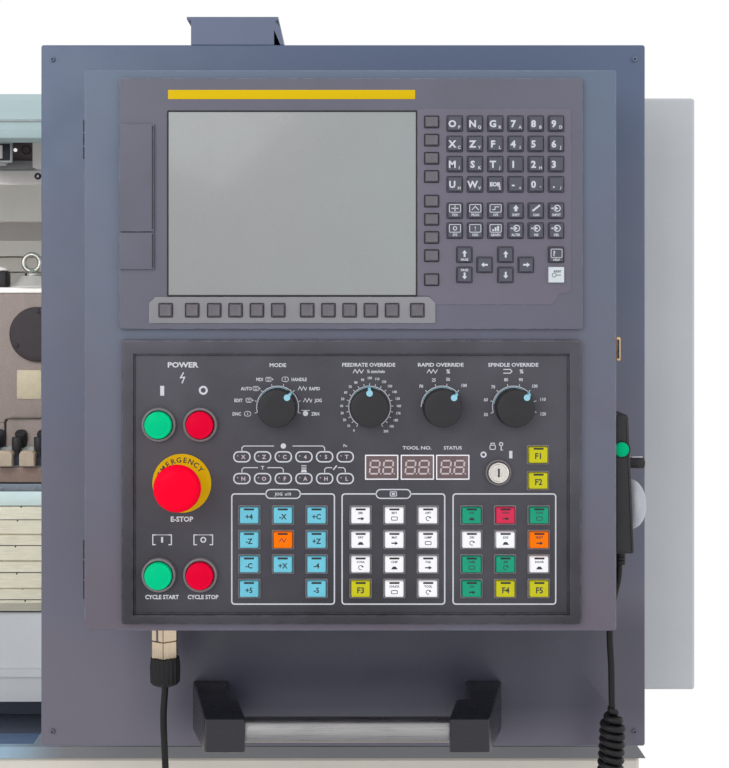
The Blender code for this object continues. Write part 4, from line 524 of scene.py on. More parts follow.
# The turret cap glows though it is no lamp: painted light on its pale edge.
CAP_GLOW_PALE = moulded("turret_cap", tone(214, 210, 205), 0.4, 0.6, 0.01, 0.2, 0.0, 0.16)
CAP_PAD = moulded("turret_cap_pad", tone(174, 170, 166), 0.4, 0.6, 0.01, 0.2)
COVER_DARK = moulded("round_cover", tone(50, 44, 47), 0.55, 0.6, 0.01, 0.2)
DUCT_GREY = moulded("wiring_duct", tone(150, 152, 156), 0.45, 0.6, 0.01, 0.2)
TERMINAL = moulded("terminal_block", tone(188, 184, 172), 0.4, 0.6, 0.01, 0.25)
# Dark sheet in the toe gap under the enclosure: painted shadow.
TOE_GAP_SHADOW = moulded("toe_gap_painted_shadow", tone(72, 78, 92), 0.5, 0.6, 0.02, 0.25)
MAT_BLUE = moulded("tray_mat", tone(98, 122, 156), 0.45, 0.6, 0.02, 0.2)
BLOCK_CREAM = moulded("clamp_block", tone(164, 149, 132), 0.5, 0.5, 0.02, 0.4)
SIGN = moulded("blank_plate", tone(176, 165, 142), 0.4, 0.5, 0.008, 0.35)

WHEEL_SILVER = brushed("wheel_silver", tone(188, 191, 197), (1, 1, 1), 0.4, 0.006, 0.15, 0.2)
GLOW = moulded("diode_window", tone(250, 248, 240), 0.4, 0.6, 0.005, 0.05, 0.0, 0.7)

SMOKE_KEY = moulded("smoked_softkey", tone(104, 98, 106), 0.22, 0.5, 0.01, 0.3, 0.5)
KEYPAD_KEY = moulded("keypad_key", tone(80, 81, 93), 0.3, 0.4, 0.012, 0.3, 0.3)
RESET_KEY = moulded("reset_key", tone(216, 222, 226), 0.35, 0.4, 0.01, 0.15)
KEY_BLUE = moulded("key_pale_blue", tone(118, 204, 224), 0.35, 0.4, 0.012, 0.25, 0.0, 0.0, 0.12)
# Orange and ivory keys glow though they are no lamps: painted light; ivory also frames the display windows.
KEY_GLOW_ORANGE = moulded("key_painted_glow_orange", tone(255, 116, 8), 0.4, 0.4, 0.012, 0.12, 0.0, 0.16, 0.05)
KEY_GLOW_IVORY = moulded("key_painted_glow_ivory", tone(250, 248, 250), 0.4, 0.4, 0.012, 0.15, 0.0, 0.07, 0.12)
KEY_GREEN = moulded("key_green", tone(36, 162, 126), 0.4, 0.4, 0.012, 0.2, 0.0, 0.0, 0.1)
KEY_RED = moulded("key_red", tone(222, 54, 88), 0.4, 0.4, 0.012, 0.2, 0.0, 0.0, 0.1)
KEY_YELLOW = moulded("key_yellow", tone(208, 202, 36), 0.4, 0.4, 0.012, 0.2, 0.0, 0.0, 0.1)
DISPLAY = moulded("display_window", tone(104, 82, 84), 0.2, 1.0, 0.005, 0.3, 0.6)
RING_GREY = moulded("control_ring", tone(124, 119, 122), 0.35, 0.5, 0.01, 0.3, 0.2)
STOP_YELLOW = moulded("stop_plate_yellow", tone(226, 182, 8), 0.45, 0.4, 0.012, 0.25, 0.0, 0.0, 0.1)
# Stop red glows though it is no lamp: painted light, on the emergency stop and the main switch handle.
STOP_GLOW_RED = moulded("stop_painted_glow_red", tone(255, 0, 44), 0.4, 0.6, 0.01, 0.1, 0.0, 0.12, 0.05)
LENS_GREEN = moulded("lens_green", tone(0, 194, 131), 0.35, 0.6, 0.01, 0.1, 0.0, 0.15, 0.05)
PENDANT_GREEN = moulded("pendant_green", tone(0, 172, 116), 0.35, 0.6, 0.01, 0.1, 0.0, 0.12, 0.05)
LENS_RED = moulded("lens_red", tone(222, 0, 49), 0.35, 0.6, 0.01, 0.1, 0.0, 0.15, 0.05)


# Camera, lights and floor

def make_camera():
    """Level camera a metre in front of the console, with its picture shifted as the photograph's."""
    lens = bpy.data.cameras.new("camera")
    lens.lens = 57.09
    lens.sensor_width = 36.0
    lens.sensor_fit = "AUTO"
    lens.shift_x = 0.0254
    lens.shift_y = -0.1094
    lens.clip_start = 0.01
    camera = bpy.data.objects.new("camera", lens)
    camera.location = (0.56925, -1.6454, 1.32)
    camera.rotation_euler = (math.pi / 2, 0.0, 0.0)
    bpy.context.scene.collection.objects.link(camera)
    bpy.context.scene.camera = camera


def make_light():
    """Surroundings that light evenly and look white to the eye, and four broad lamps."""
    scene = bpy.context.scene
    scene.view_settings.view_transform = "Standard"
    world = bpy.data.worlds.new("studio")
    scene.world = world
    world.use_nodes = True
    tree = world.node_tree
    ground = tree.nodes["Background"]
    ray = tree.nodes.new("ShaderNodeLightPath")
    mix = tree.nodes.new("ShaderNodeMix")
    mix.data_type = "RGBA"
    pure = ray.outputs["Is Camera Ray"]
    for name in ("Is Transmission Ray", "Is Glossy Ray"):
        either = tree.nodes.new("ShaderNodeMath")
        either.operation = "MAXIMUM"
        tree.links.new(pure, either.inputs[0])
        tree.links.new(ray.outputs[name], either.inputs[1])
        pure = either.outputs[0]
    tree.links.new(pure, mix.inputs[0])
    mix.inputs[6].default_value = (0.70, 0.72, 0.75, 1.0)
    mix.inputs[7].default_value = (1.0, 1.0, 1.0, 1.0)
    tree.links.new(mix.outputs[2], ground.inputs["Color"])
    for name, spot, aim, size, watts in (("key", (-1.3, -3.2, 2.5), (0.5, -0.4, 1.2), 2.2, 34.0),
                                         ("fill", (3.0, -2.8, 2.0), (0.4, -0.2, 1.1), 2.4, 12.0),
                                         ("inside", (0.0, -0.22, 1.45), (-0.05, 0.5, 1.15), 0.3, 3.0),
                                         ("rear", (-0.4, 3.4, 3.0), (0.0, 0.4, 0.9), 2.6, 26.0)):
        lamp = bpy.data.lights.new(name, "AREA")
        lamp.energy = watts
        lamp.size = size
        holder = bpy.data.objects.new(name, lamp)
        scene.collection.objects.link(holder)
        holder.location = spot
        away = np.array(aim) - np.array(spot)
        yaw = math.atan2(away[0], -away[1])
        pitch = math.atan2(math.hypot(away[0], away[1]), -away[2])
        holder.rotation_euler = (pitch, 0.0, yaw + math.pi)
        holder.visible_camera = False
        holder.visible_glossy = name in ("key", "fill")


FLOOR_RADIUS = 2.25


def make_floor():
    """Disc of pale floor; where the eye sees its rim it turns into the white around it."""
    f = Finish("floor", 0.6)
    place = f.node("ShaderNodeTexCoord", out="Object")
    far = f.node("ShaderNodeVectorMath", {"operation": "LENGTH"}, {0: place}, out="Value")
    f.feed(base_color=f.blend(f.noise(600, 3), tone(236, 236, 238), tone(228, 228, 230)))
    eye = f.node("ShaderNodeLightPath", out="Is Camera Ray")
    white = f.tree.nodes.new("ShaderNodeEmission")
    share = f.spread(far, 1.2, 2.2, 0.25, 1.0) * eye
    mix = f.tree.nodes.new("ShaderNodeMixShader")
    f.tree.links.new(share.socket, mix.inputs[0])
    f.tree.links.new(f.shader.outputs[0], mix.inputs[1])
    f.tree.links.new(white.outputs[0], mix.inputs[2])
    f.tree.links.new(mix.outputs[0], f.tree.nodes["Material Output"].inputs["Surface"])
    mesh = bpy.data.meshes.new("floor")
    rim = circle(FLOOR_RADIUS, 96)(0)
    mesh.from_pydata(np.column_stack([rim, np.zeros(len(rim))]).tolist(), [], [list(range(len(rim)))])
    mesh.materials.append(f.material)
    floor = bpy.data.objects.new("floor", mesh)
    bpy.context.scene.collection.objects.link(floor)


# Cord

CORD_Z = -45.0
CORD_RADIUS = 3.0
COIL_RADIUS = 9.0
COIL_PITCH = 7.0
COIL_STEP = 0.5
COIL_RAMP = 22.0
GLAND = (242.3, -194.3)
PLUG = (-166.0, -262.5)


def route(knots, step):
    """Catmull-Rom curve through the knots, then parted evenly by its length."""
    knots = np.asarray(knots, float)
    k = np.concatenate([2 * knots[:1] - knots[1:2], knots, 2 * knots[-1:] - knots[-2:-1]])
    t = (np.arange(24) / 24)[None, :, None]
    a, b, c, d = (k[i:len(k) - 3 + i][:, None] for i in range(4))
    bend, twist = 2 * a - 5 * b + 4 * c - d, 3 * b - a - 3 * c + d
    fine = 0.5 * (2 * b + (c - a) * t + bend * t ** 2 + twist * t ** 3)
    fine = np.concatenate([fine.reshape(-1, 2), knots[-1:]])
    run = np.concatenate([[0], np.cumsum(np.linalg.norm(np.diff(fine, axis=0), axis=1))])
    at = np.linspace(0, run[-1], int(round(run[-1] / step)) + 1)
    return np.column_stack([np.interp(at, run, fine[:, i]) for i in (0, 1)])


def onward(line, reach):
    """Two knots that carry straight on from the end of a line."""
    heading = (line[-1] - line[-2]) / np.linalg.norm(line[-1] - line[-2])
    return [line[-1] + heading * 0.6, line[-1] + heading * reach]


def make_cord():
    """One cord from pendant to plug: straight lead, curly stretch wound on a curved axis, straight lead."""
    lead = route([GLAND, (241.2, -209.0), (235.8, -233.0), (233.8, -257.3), (235.2, -287.3),
                  (235.7, -319.0)], COIL_STEP)
    wound = route([*onward(lead, 30), (233.0, -400.0), (229.0, -500.0), (220.0, -600.0), (190.0, -675.0),
                   (140.0, -708.0)], COIL_STEP)
    free = route([*onward(wound, 30), (60.0, -723.0), (-15.0, -690.0), (-85.0, -625.0), (-133.0, -540.0),
                  (-160.0, -430.0), (-167.2, -345.0), (-166.0, -304.9)], 4.0)
    count = np.arange(len(wound))
    ramp = np.minimum(1, np.minimum(count, count[::-1]) * COIL_STEP / COIL_RAMP)
    swing = (COIL_RADIUS * (3 * ramp ** 2 - 2 * ramp ** 3))[:, None]
    turn = (count * COIL_STEP / COIL_PITCH * 2 * math.pi + math.pi / 2)[:, None]
    along = np.gradient(wound, axis=0)
    along /= np.linalg.norm(along, axis=1)[:, None]
    across = np.column_stack([along[:, 1], -along[:, 0], np.zeros(len(along))])
    out = np.cos(turn) * across + np.sin(turn) * (0, 0, 1)
    axis = np.column_stack([wound, np.full(len(wound), CORD_Z)])
    coil = axis + swing * out
    flat = [np.column_stack([line, np.full(len(line), CORD_Z)]) for line in (lead[::6], free)]
    path = np.concatenate([flat[0], coil, flat[1]])
    side = np.concatenate([np.tile((0.0, 0.0, 1.0), (len(flat[0]), 1)), out,
                           np.tile((0.0, 0.0, 1.0), (len(flat[1]), 1))])
    cord = Piece("curly_cord", "console", RUBBER, slot="rubber", sharp=60,
                 replaces=("cord_lead_pendant", "cord_coil", "cord_lead_plug"))
    cord.tube(path, side, CORD_RADIUS, 10)
    cord = cord.done()
    plug = Piece("cord_plug_head", "console", NICKEL, RUBBER, slot="steel", replaces=("cord_plug",))
    at = (PLUG[0], PLUG[1], CORD_Z)
    hexagon = circle(1, 12)(0)[1::2]
    nut = [(-7.0, 0.4), (-11.6, 0.4), (-12.4, -0.4), (-12.5, -14.4), (-11.8, -15.4), (-9.0, -15.4)]
    plug.plate(lambda inset: hexagon * -inset, nut[::-1], at, "up")
    plug.box((-166.3, PLUG[1] - 14.4, -33.1), (-165.7, PLUG[1] - 0.6, -32.2), 0.1, 1)
    ridge = circle(1, 40)(0) * (1 + 0.03 * np.cos(np.arange(40) * math.pi))[:, None]
    plug.plate(lambda inset: ridge * -inset,
               [(-3.2, -42.2), (-5.0, -42.0), (-11.2, -39.4), (-12.9, -37.6), (-13.3, -24.0), (-12.9, -20.6),
                (-12.4, -15.9), (-9.5, -15.3)], at, "up", 1)
    plug = plug.done()


# Console front, screen unit and operator panel

FACE_LEVEL = 0.3
UNIT_TOP = 4.5
INSET_TOP = 5.3
STRIP_TOP = 5.7
PANEL_FLOOR = 3.2
PRINT = PANEL_FLOOR + 0.06
KEYPAD_PRINT = 8.14
KEY_PRINT = 7.56
SCREEN_MIDDLE = (-49.6, 125.5)
DISPLAY_X = (27.2, 57.9, 88.3)
DISPLAY_Y = -101.0
KNOB_Y = -49.5
BUTTONS = ((-164.0, -64.3), (-128.5, -64.3), (-164.0, -193.2), (-128.5, -193.2))
STOP_MIDDLE = (-144.5, -114.8)
KEY_LOCK = (127.4, -105.4)


def make_console_front():
    """Hinged front sheet with a rolled edge, two hinge leaves and their knuckles."""
    front = Piece("console_front_sheet", "console_front", CONSOLE_REFLECTION_GREY, BLACK, slot="dark",
                  replaces=("console_door",))
    rows = [(3.0, -22.0), (0.9, -21.1), (0.0, -19.0), *soft_edge(-2.0, 0.0, 1.6, steps=6)]
    front.plate(rounded(459.0, 483.7, 2.4, 6), rows, (0.3, -0.85))
    for low, high in ((165.9, 200.6), (-219.3, -167.4)):
        pin = (-231.9, 0, -17.0)
        front.turned([(1.2, low), (1.9, low + 0.6), (1.9, high - 0.6), (1.2, high)], pin, "up", 20, 1)
        for share in (0.33, 0.67):
            middle = low + (high - low) * share
            front.turned([(1.9, middle - 0.6), (2.1, middle - 0.3), (2.1, middle + 0.3), (1.9, middle + 0.6)],
                         pin, "up", 20)
        front.box((-231.6, low + 1, -16.6), (-225.3, high - 1, -15.2), 0.4, 1)
    front.done()


def key_caps(piece, spots, size, low, high, tint, corner, dish, lean):
    """Keys at spots: a cap whose sides lean in and whose top is slightly dished."""
    rows = [(0.0, low), (lean * 0.6, high - 0.7), (lean * 0.8, high - 0.25), (lean, high),
            (lean + 1.2, high - dish * 0.4), (lean + 3.0, high - dish)]
    for spot in spots:
        piece.plate(rounded(size[0], size[1], corner, 3), rows, spot, tint=tint)


def key_rims(piece, spots, width, height, levels, rim):
    """Dark frame round each key, from its foot and shoulder to its crest."""
    foot, shoulder, crest = levels
    rows = [(0, foot), (0, shoulder), (0.3, crest), (rim, shoulder), (rim, foot)]
    for spot in spots:
        piece.plate(rounded(width, height, 1.0, 3), rows, spot, tint=3, hollow=True)


def make_screen_unit():
    """Screen unit: plate, screen gasket, softkey strip, keypad inset and every key."""
    unit = Piece("screen_unit", "console_front", UNIT_GREY, INSET_GREY, STRIPE, BLACK, SMOKE_KEY, KEYPAD_KEY,
                 RESET_KEY, STRIP_GREY, slot="bezel", replaces=("cnc_bezel",))
    unit.plate(rounded(398.3, 215.5, 1.6, 4), [(0.8, FACE_LEVEL), (0.2, FACE_LEVEL + 0.4),
                                               *soft_edge(1.5, UNIT_TOP, 0.9)], (0.9, 125.4))
    gasket = [(0.0, 4.4), (0.0, 4.9), (0.4, 5.2), (1.0, 5.2), (1.5, 4.75), (1.5, 4.4)]
    unit.plate(rounded(215.0, 159.8, 1.2, 3), gasket, SCREEN_MIDDLE, tint=3, hollow=True)
    left, bottom, right, top = -156.2, 215.1, 55.9, 223.0
    unit.plate(rounded(right - left, top - bottom, 0.3, 2), [(0, 4.4), (0, 4.75), (0.15, 4.85)],
               ((left + right) / 2, (bottom + top) / 2), tint=2)
    unit.plate(polygon([(-172.4, 22.8), (73.3, 22.8), (73.3, 40.0), (68.0, 45.3), (-167.1, 45.3),
                        (-172.4, 40.0)]), [(0, 4.3), (0, 5.2), (0.25, 5.6), (0.6, STRIP_TOP)], tint=7)
    unit.plate(polygon([(74.4, 38.8), (174.1, 38.8), (176.5, 42.4), (179.2, 47.6), (189.6, 50.0),
                        (189.6, 206.5), (57.8, 206.5), (57.8, 46.6), (67.6, 46.4)]),
               [(0, 4.3), (0, 4.9), (0.25, 5.2), (0.6, INSET_TOP)], tint=1)
    places = (-158.0, -135.3, -116.4, -98.1, -79.8, -61.5, -36.7, -18.5, -0.3, 17.9, 36.1, 57.7)
    soft = [(x, 33.9) for x in places]
    key_rims(unit, soft, 12.6, 12.6, (5.6, 5.9, 6.05), 0.7)
    key_caps(unit, soft, (11.0, 11.0), 5.6, 8.4, 4, 0.7, 0.5, 1.1)
    side = [(70.0, y) for y in (195.4, 179.8, 164.2, 148.6, 127.5, 111.9, 96.3, 80.7, 60.1)]
    key_rims(unit, side, 13.2, 11.0, (5.2, 5.5, 5.65), 0.7)
    key_caps(unit, side, (11.8, 9.6), 5.2, 8.0, 4, 0.7, 0.5, 1.1)
    columns = [89.8 + 17.37 * number for number in range(6)]
    rows = [193.9 - 17.37 * number for number in range(4)] + [119.2, 102.1]
    grid = [(x, y) for y in rows for x in columns]
    extra = [(98.0, 81.5), (98.0, 64.2), (115.3, 72.8), (133.2, 81.5), (133.2, 64.2), (150.7, 72.8),
             (176.7, 81.5), (176.7, 64.3)]
    key_rims(unit, grid + extra, 14.2, 14.2, (5.2, 5.45, 5.6), 0.6)
    key_caps(unit, (grid + extra)[:-1], (12.4, 12.4), 5.2, 8.1, 5, 0.9, 0.08, 0.8)
    key_caps(unit, extra[-1:], (14.0, 14.0), 5.2, 8.12, 6, 0.9, 0.04, 0.6)
    unit.box((-197.6, 69.0, 4.4), (-168.2, 100.4, 6.9), 0.5)
    unit.box((-169.6, 70.0, 6.6), (-168.6, 99.4, 7.05), 0.2, 3)
    unit.done()
    flap = Piece("card_slot_cover", "slot_flap", UNIT_GREY, BLACK, slot="bezel", replaces=("slot_cover",))
    flap.box((-197.4, 101.4, 4.85), (-168.2, 193.4, 7.15), 0.55, steps=3)
    flap.box((-169.7, 103.0, 6.9), (-168.7, 192.0, 7.3), 0.2, 1)
    flap.box((-172.9, 141.0, 7.0), (-171.6, 153.0, 7.45), 0.2, 0)
    flap.done()
    make_keypad_print(columns, rows)


def make_keypad_print(columns, rows):
    """Letters, numbers and small signs on the keypad's keys."""
    ink = Piece("keypad_letters", "console_front", WHITE_INK, DARK_INK, slot="bezel")
    z = KEYPAD_PRINT
    large = ("ONG789", "XZF456", "MST123")
    small = ("PQRABD", "CYLI J", "IKJ H ")
    for row, (word, second) in enumerate(zip(large, small)):
        for x, letter, minor in zip(columns, word, second):
            ink.word(letter, (x - 2.3, rows[row] - 0.2), 5.9, z, wide=1.02, heavy=0.45)
            if minor.strip():
                ink.word(minor, (x + 3.6, rows[row] - 3.2), 2.6, z, heavy=0.15)
    for x, word, tall in zip(columns, ("U", "W", "EOB", "-", "0", "."), (5.9, 5.9, 3.4, 5.9, 5.9, 5.9)):
        ink.word(word, (x - (2.3 if tall > 5 else 0.6), rows[3]), tall, z, heavy=0.4)
    for x, word in zip(columns, ("H", "V", "E", "+", "*", "/")):
        ink.word(word, (x + 3.6, rows[3] - 3.2), 2.6, z, heavy=0.15)
    names = (("POS", "PROG", "OFS", "SHIFT", "CAN", "INPUT"), ("SYS", "MSG", "GRAPH", "ALTER", "INS", "DEL"))
    for row, words in zip(rows[4:], names):
        for number, (x, word) in enumerate(zip(columns, words)):
            ink.word(word, (x, row - 3.6), 2.2, z, wide=0.85, heavy=0.12)
            if number < 3:
                ink.band(rounded(9.6, 6.6, 0.8, 2), 0.6, z, (x, row + 1.9))
    for x, y, way in ((columns[0], rows[4], 0), (columns[3], rows[4], 1), (columns[4], rows[4], 2),
                      (columns[5], rows[4], 3), (columns[3], rows[5], 3), (columns[4], rows[5], 3),
                      (columns[5], rows[5], 3)):
        if way == 0:
            ink.stroke([(x - 3, y + 1.9), (x + 3, y + 1.9)], 0.8, z)
            ink.stroke([(x, y - 0.6), (x, y + 4.4)], 0.8, z)
        elif way == 1:
            ink.patch([(x - 1.2, y - 0.6), (x + 1.2, y - 0.6), (x + 1.2, y + 1.8), (x + 2.6, y + 1.8),
                       (x, y + 4.8), (x - 2.6, y + 1.8), (x - 1.2, y + 1.8)], z)
        elif way == 2:
            ink.stroke([(x - 3.2, y - 0.4), (x + 3.2, y + 4.6)], 1.6, z)
        else:
            ink.band(circle(2.6, 20), 0.8, z, (x + 0.6, y + 1.9))
            ink.patch([(x - 4.4, y + 1.3), (x - 1.0, y + 1.3), (x - 1.0, y + 0.2), (x + 1.6, y + 1.9),
                       (x - 1.0, y + 3.6), (x - 1.0, y + 2.5), (x - 4.4, y + 2.5)], z)
    ink.stroke([(columns[1] - 3, rows[4] + 0.4), (columns[1], rows[4] + 3.6),
                (columns[1] + 3, rows[4] + 0.4)], 0.7, z)
    ink.stroke([(columns[2] - 3, rows[4] + 0.8), (columns[2] - 0.5, rows[4] + 0.8),
                (columns[2] - 0.5, rows[4] + 3.2), (columns[2] + 3, rows[4] + 3.2)], 0.7, z)
    ink.band(circle(1.5, 16), 0.7, z, (columns[0], rows[5] + 1.9))
    ink.word("!", (columns[1], rows[5] + 1.9), 3.8, z)
    for step, tall in enumerate((1.6, 3.2, 4.4)):
        x, y = columns[2] - 3 + step * 2.2, rows[5] - 0.4
        ink.patch([(x, y), (x + 1.6, y), (x + 1.6, y + tall), (x, y + tall)], z)
    arrow = np.array([(-0.8, -2.6), (0.8, -2.6), (0.8, 0.6), (2.2, 0.6), (0, 3.2), (-2.2, 0.6), (-0.8, 0.6)])
    for x, y, turn, word, drop in ((98.0, 81.5, 0, "PAGE", -4.2), (98.0, 64.2, 2, "PAGE", 4.2),
                                   (115.3, 72.8, 1, "", 0), (133.2, 81.5, 0, "", 0),
                                   (133.2, 64.2, 2, "", 0), (150.7, 72.8, 3, "", 0)):
        a = turn * math.pi / 2
        spun = arrow @ np.array([(math.cos(a), math.sin(a)), (-math.sin(a), math.cos(a))])
        ink.patch(spun + (x, y + (0.6 if drop < 0 else -0.6 if drop > 0 else 0)), z)
        if word:
            ink.word(word, (x, y + drop), 2.1, z, wide=0.9, heavy=0.12)
    ink.word("?", (174.6, 82.6), 4.4, z, heavy=0.3)
    ink.band(rounded(9.4, 7.2, 0.8, 2), 0.5, z, (176.7, 82.6))
    ink.word("HELP", (176.7, 77.2), 1.9, z, heavy=0.1)
    ink.band(circle(1.7, 16), 0.5, z, (174.6, 64.0), 1)
    ink.word("RESET", (177.6, 67.2), 1.8, z, 1, heavy=0.1)
    ink.stroke([(176.4, 64.0), (180.6, 64.0)], 0.6, z, 1)
    ink.done()


def make_operator_panel():
    """Panel frame with its groove, keys in dark rims, display windows and control rings."""
    panel = Piece("operator_panel_face", "console_front", PANEL_REFLECTION_GREY, BLACK, KEY_BLUE, KEY_GLOW_ORANGE, KEY_GLOW_IVORY,
                  KEY_GREEN, KEY_RED, KEY_YELLOW, DISPLAY, RING_GREY, STOP_YELLOW, slot="panel",
                  replaces=("operator_panel",))
    frame_rows = [(0.6, FACE_LEVEL), (0.0, 1.0), *soft_edge(2.0, 6.2, 1.7, steps=5), (9.0, 6.1), (9.9, 5.6),
                  (10.3, 4.6), (10.4, 2.5), (11.5, 2.4), (11.8, 2.9), (12.1, PANEL_FLOOR)]
    panel.plate(lambda inset: rounded(394.7, 244.4, 2.4, 5)(inset) - (0, 0.23 * min(inset, 9.0)),
                frame_rows, (1.2, -113.5))
    caps = {tint: [] for tint in range(2, 8)}
    columns = [[-86.5, -57.6, -28.7], [9.1, 38.0, 66.9], [104.3, 133.2, 162.1]]
    rows = [-142.1, -163.1, -184.1, -205.1]
    tints = [["222", "232", "222", "2 2"], ["444", "444", "444", "744"], ["565", "443", "554", "577"]]
    for block, words in zip(columns, tints):
        for y, word in zip(rows, words):
            for x, tint in zip(block, word):
                if tint != " ":
                    caps[int(tint)].append((x, y))
    caps[7] += [(161.4, -90.2), (161.4, -112.4)]
    for tint, spots in caps.items():
        panel.plate(rounded(19.4, 17.0, 1.4, 3),
                    [(0, 3.1), (0.1, 3.9), (0.5, 4.25), (0.9, 4.2), (1.3, 3.7), (1.3, 3.1)],
                    tint=9, hollow=True, spots=spots)
        panel.plate(rounded(16.4, 14.0, 1.2, 3), [(0, 3.15), (0.25, 6.0), (0.7, 7.2), (1.5, 7.6), (3.2, 7.5)],
                    tint=tint, spots=spots)
        panel.plate(rounded(8.6, 1.5, 0.4, 2), [(0, 7.3), (0, 7.65), (0.3, 7.72)], tint=1,
                    spots=[(x, y + 5.5) for x, y in spots])
    for x in DISPLAY_X:
        panel.plate(rounded(28.6, 21.4, 0.4, 2),
                    [(0, 3.1), (0, 3.9), (0.2, 4.0), (0.8, 4.0), (1.0, 3.5), (1.0, 3.1)],
                    (x, DISPLAY_Y), tint=4, hollow=True)
        panel.plate(rounded(26.8, 19.6, 0.2, 2), [(0, 3.1), (0, 3.4), (0.1, 3.45)], (x, DISPLAY_Y), tint=8)
    for spot in BUTTONS:
        panel.turned([(14.7, 3.1), (14.7, 6.4), (14.3, 7.6), (13.4, 8.2), (12.6, 8.0), (12.2, 7.0),
                      (12.2, 3.1)], spot, tint=9, hollow=True, steps=48)
    panel.turned([(11.2, 3.1), (11.2, 5.2), (10.7, 6.1), (9.8, 6.1), (9.7, 3.1)], KEY_LOCK, tint=9,
                 hollow=True, steps=36)
    panel.turned([(25.3, 3.1), (25.3, 4.0), (24.9, 4.3), (13.6, 4.3), (13.0, 5.2), (12.5, 16.2), (9.8, 16.2),
                  (9.8, 3.1)], STOP_MIDDLE, tint=10, hollow=True, steps=64)
    panel.done()


def dial_print(ink, middle, marks, first, last):
    """Arc round a switch with a short tick and a word at each mark: (angle, word, reach, height)."""
    radius = 18.0
    t = np.radians(np.linspace(first, last, 48))
    arc = middle + radius * np.column_stack([np.cos(t), np.sin(t)])
    ink.stroke(arc, 0.75, PRINT)
    for angle, word, reach, tall in marks:
        way = np.array([math.cos(math.radians(angle)), math.sin(math.radians(angle))])
        ink.stroke([middle + way * radius, middle + way * (radius + 2.4)], 0.65, PRINT)
        if word:
            ink.word(word, middle + way * reach, tall, PRINT, wide=0.9, heavy=0.12)


def print_titles(ink):
    """Titles of switches, buttons and windows, and the signs beside the four buttons."""
    for text, spot, tall, wide, heavy in (("POWER", (-143.8, -12.9), 4.5, 1.22, 0.3),
                                          ("MODE", (-62.1, -13.2), 3.3, 1.12, 0.15),
                                          ("FEEDRATE OVERRIDE", (16.0, -12.9), 3.2, 1.1, 0.15),
                                          ("RAPID OVERRIDE", (77.9, -12.9), 3.2, 1.17, 0.15),
                                          ("SPINDLE OVERRIDE", (140.3, -12.9), 3.2, 1.14, 0.15),
                                          ("E-STOP", (-144.6, -145.5), 4.4, 1.0, 0.25),
                                          ("CYCLE START", (-161.6, -212.5), 3.6, 0.94, 0.2),
                                          ("CYCLE STOP", (-126.4, -212.5), 3.6, 0.94, 0.2),
                                          ("TOOL NO.", (57.7, -84.3), 2.9, 1.3, 0.1),
                                          ("STATUS", (88.3, -84.3), 2.9, 1.12, 0.1),
                                          ("% mm/min", (22.3, -18.6), 2.8, 0.95, 0.1),
                                          ("%", (84.4, -18.6), 3.4, 1.0, 0.2),
                                          ("%", (147.4, -18.6), 3.4, 1.0, 0.2),
                                          ("Fn", (-4.1, -82.4), 2.6, 1.0, 0.0)):
        ink.word(text, spot, tall, PRINT, wide=wide, heavy=heavy)
    x, y = (-143.8, -24.3)
    ink.stroke([(x + 0.8, y + 4.8), (x - 1.8, y + 0.2), (x + 1.6, y + 0.6), (x - 0.6, y - 4.6)], 1.0, PRINT)
    x, y = (-161.4, -35.3)
    ink.patch([(x - 1.7, y - 4.2), (x + 1.7, y - 4.2), (x + 1.7, y + 4.2), (x - 1.7, y + 4.2)], PRINT)
    ink.band(circle(3.0, 28), 1.7, PRINT, (-126.1, -34.9))
    for x, y, ring in ((-161.5, -163.4, False), (-126.1, -163.4, True)):
        for side in (-1, 1):
            ink.stroke([(x + side * 5.4, y + 4.2), (x + side * 8.0, y + 4.2), (x + side * 8.0, y - 4.2),
                        (x + side * 5.4, y - 4.2)], 0.9, PRINT)
        ink.stroke([(x - 5.4, y + 4.2), (x + 5.4, y + 4.2)], 0.5, PRINT)
        if ring:
            ink.band(circle(2.0, 20), 1.1, PRINT, (x, y))
        else:
            ink.stroke([(x, y - 2.4), (x, y + 2.4)], 1.7, PRINT)


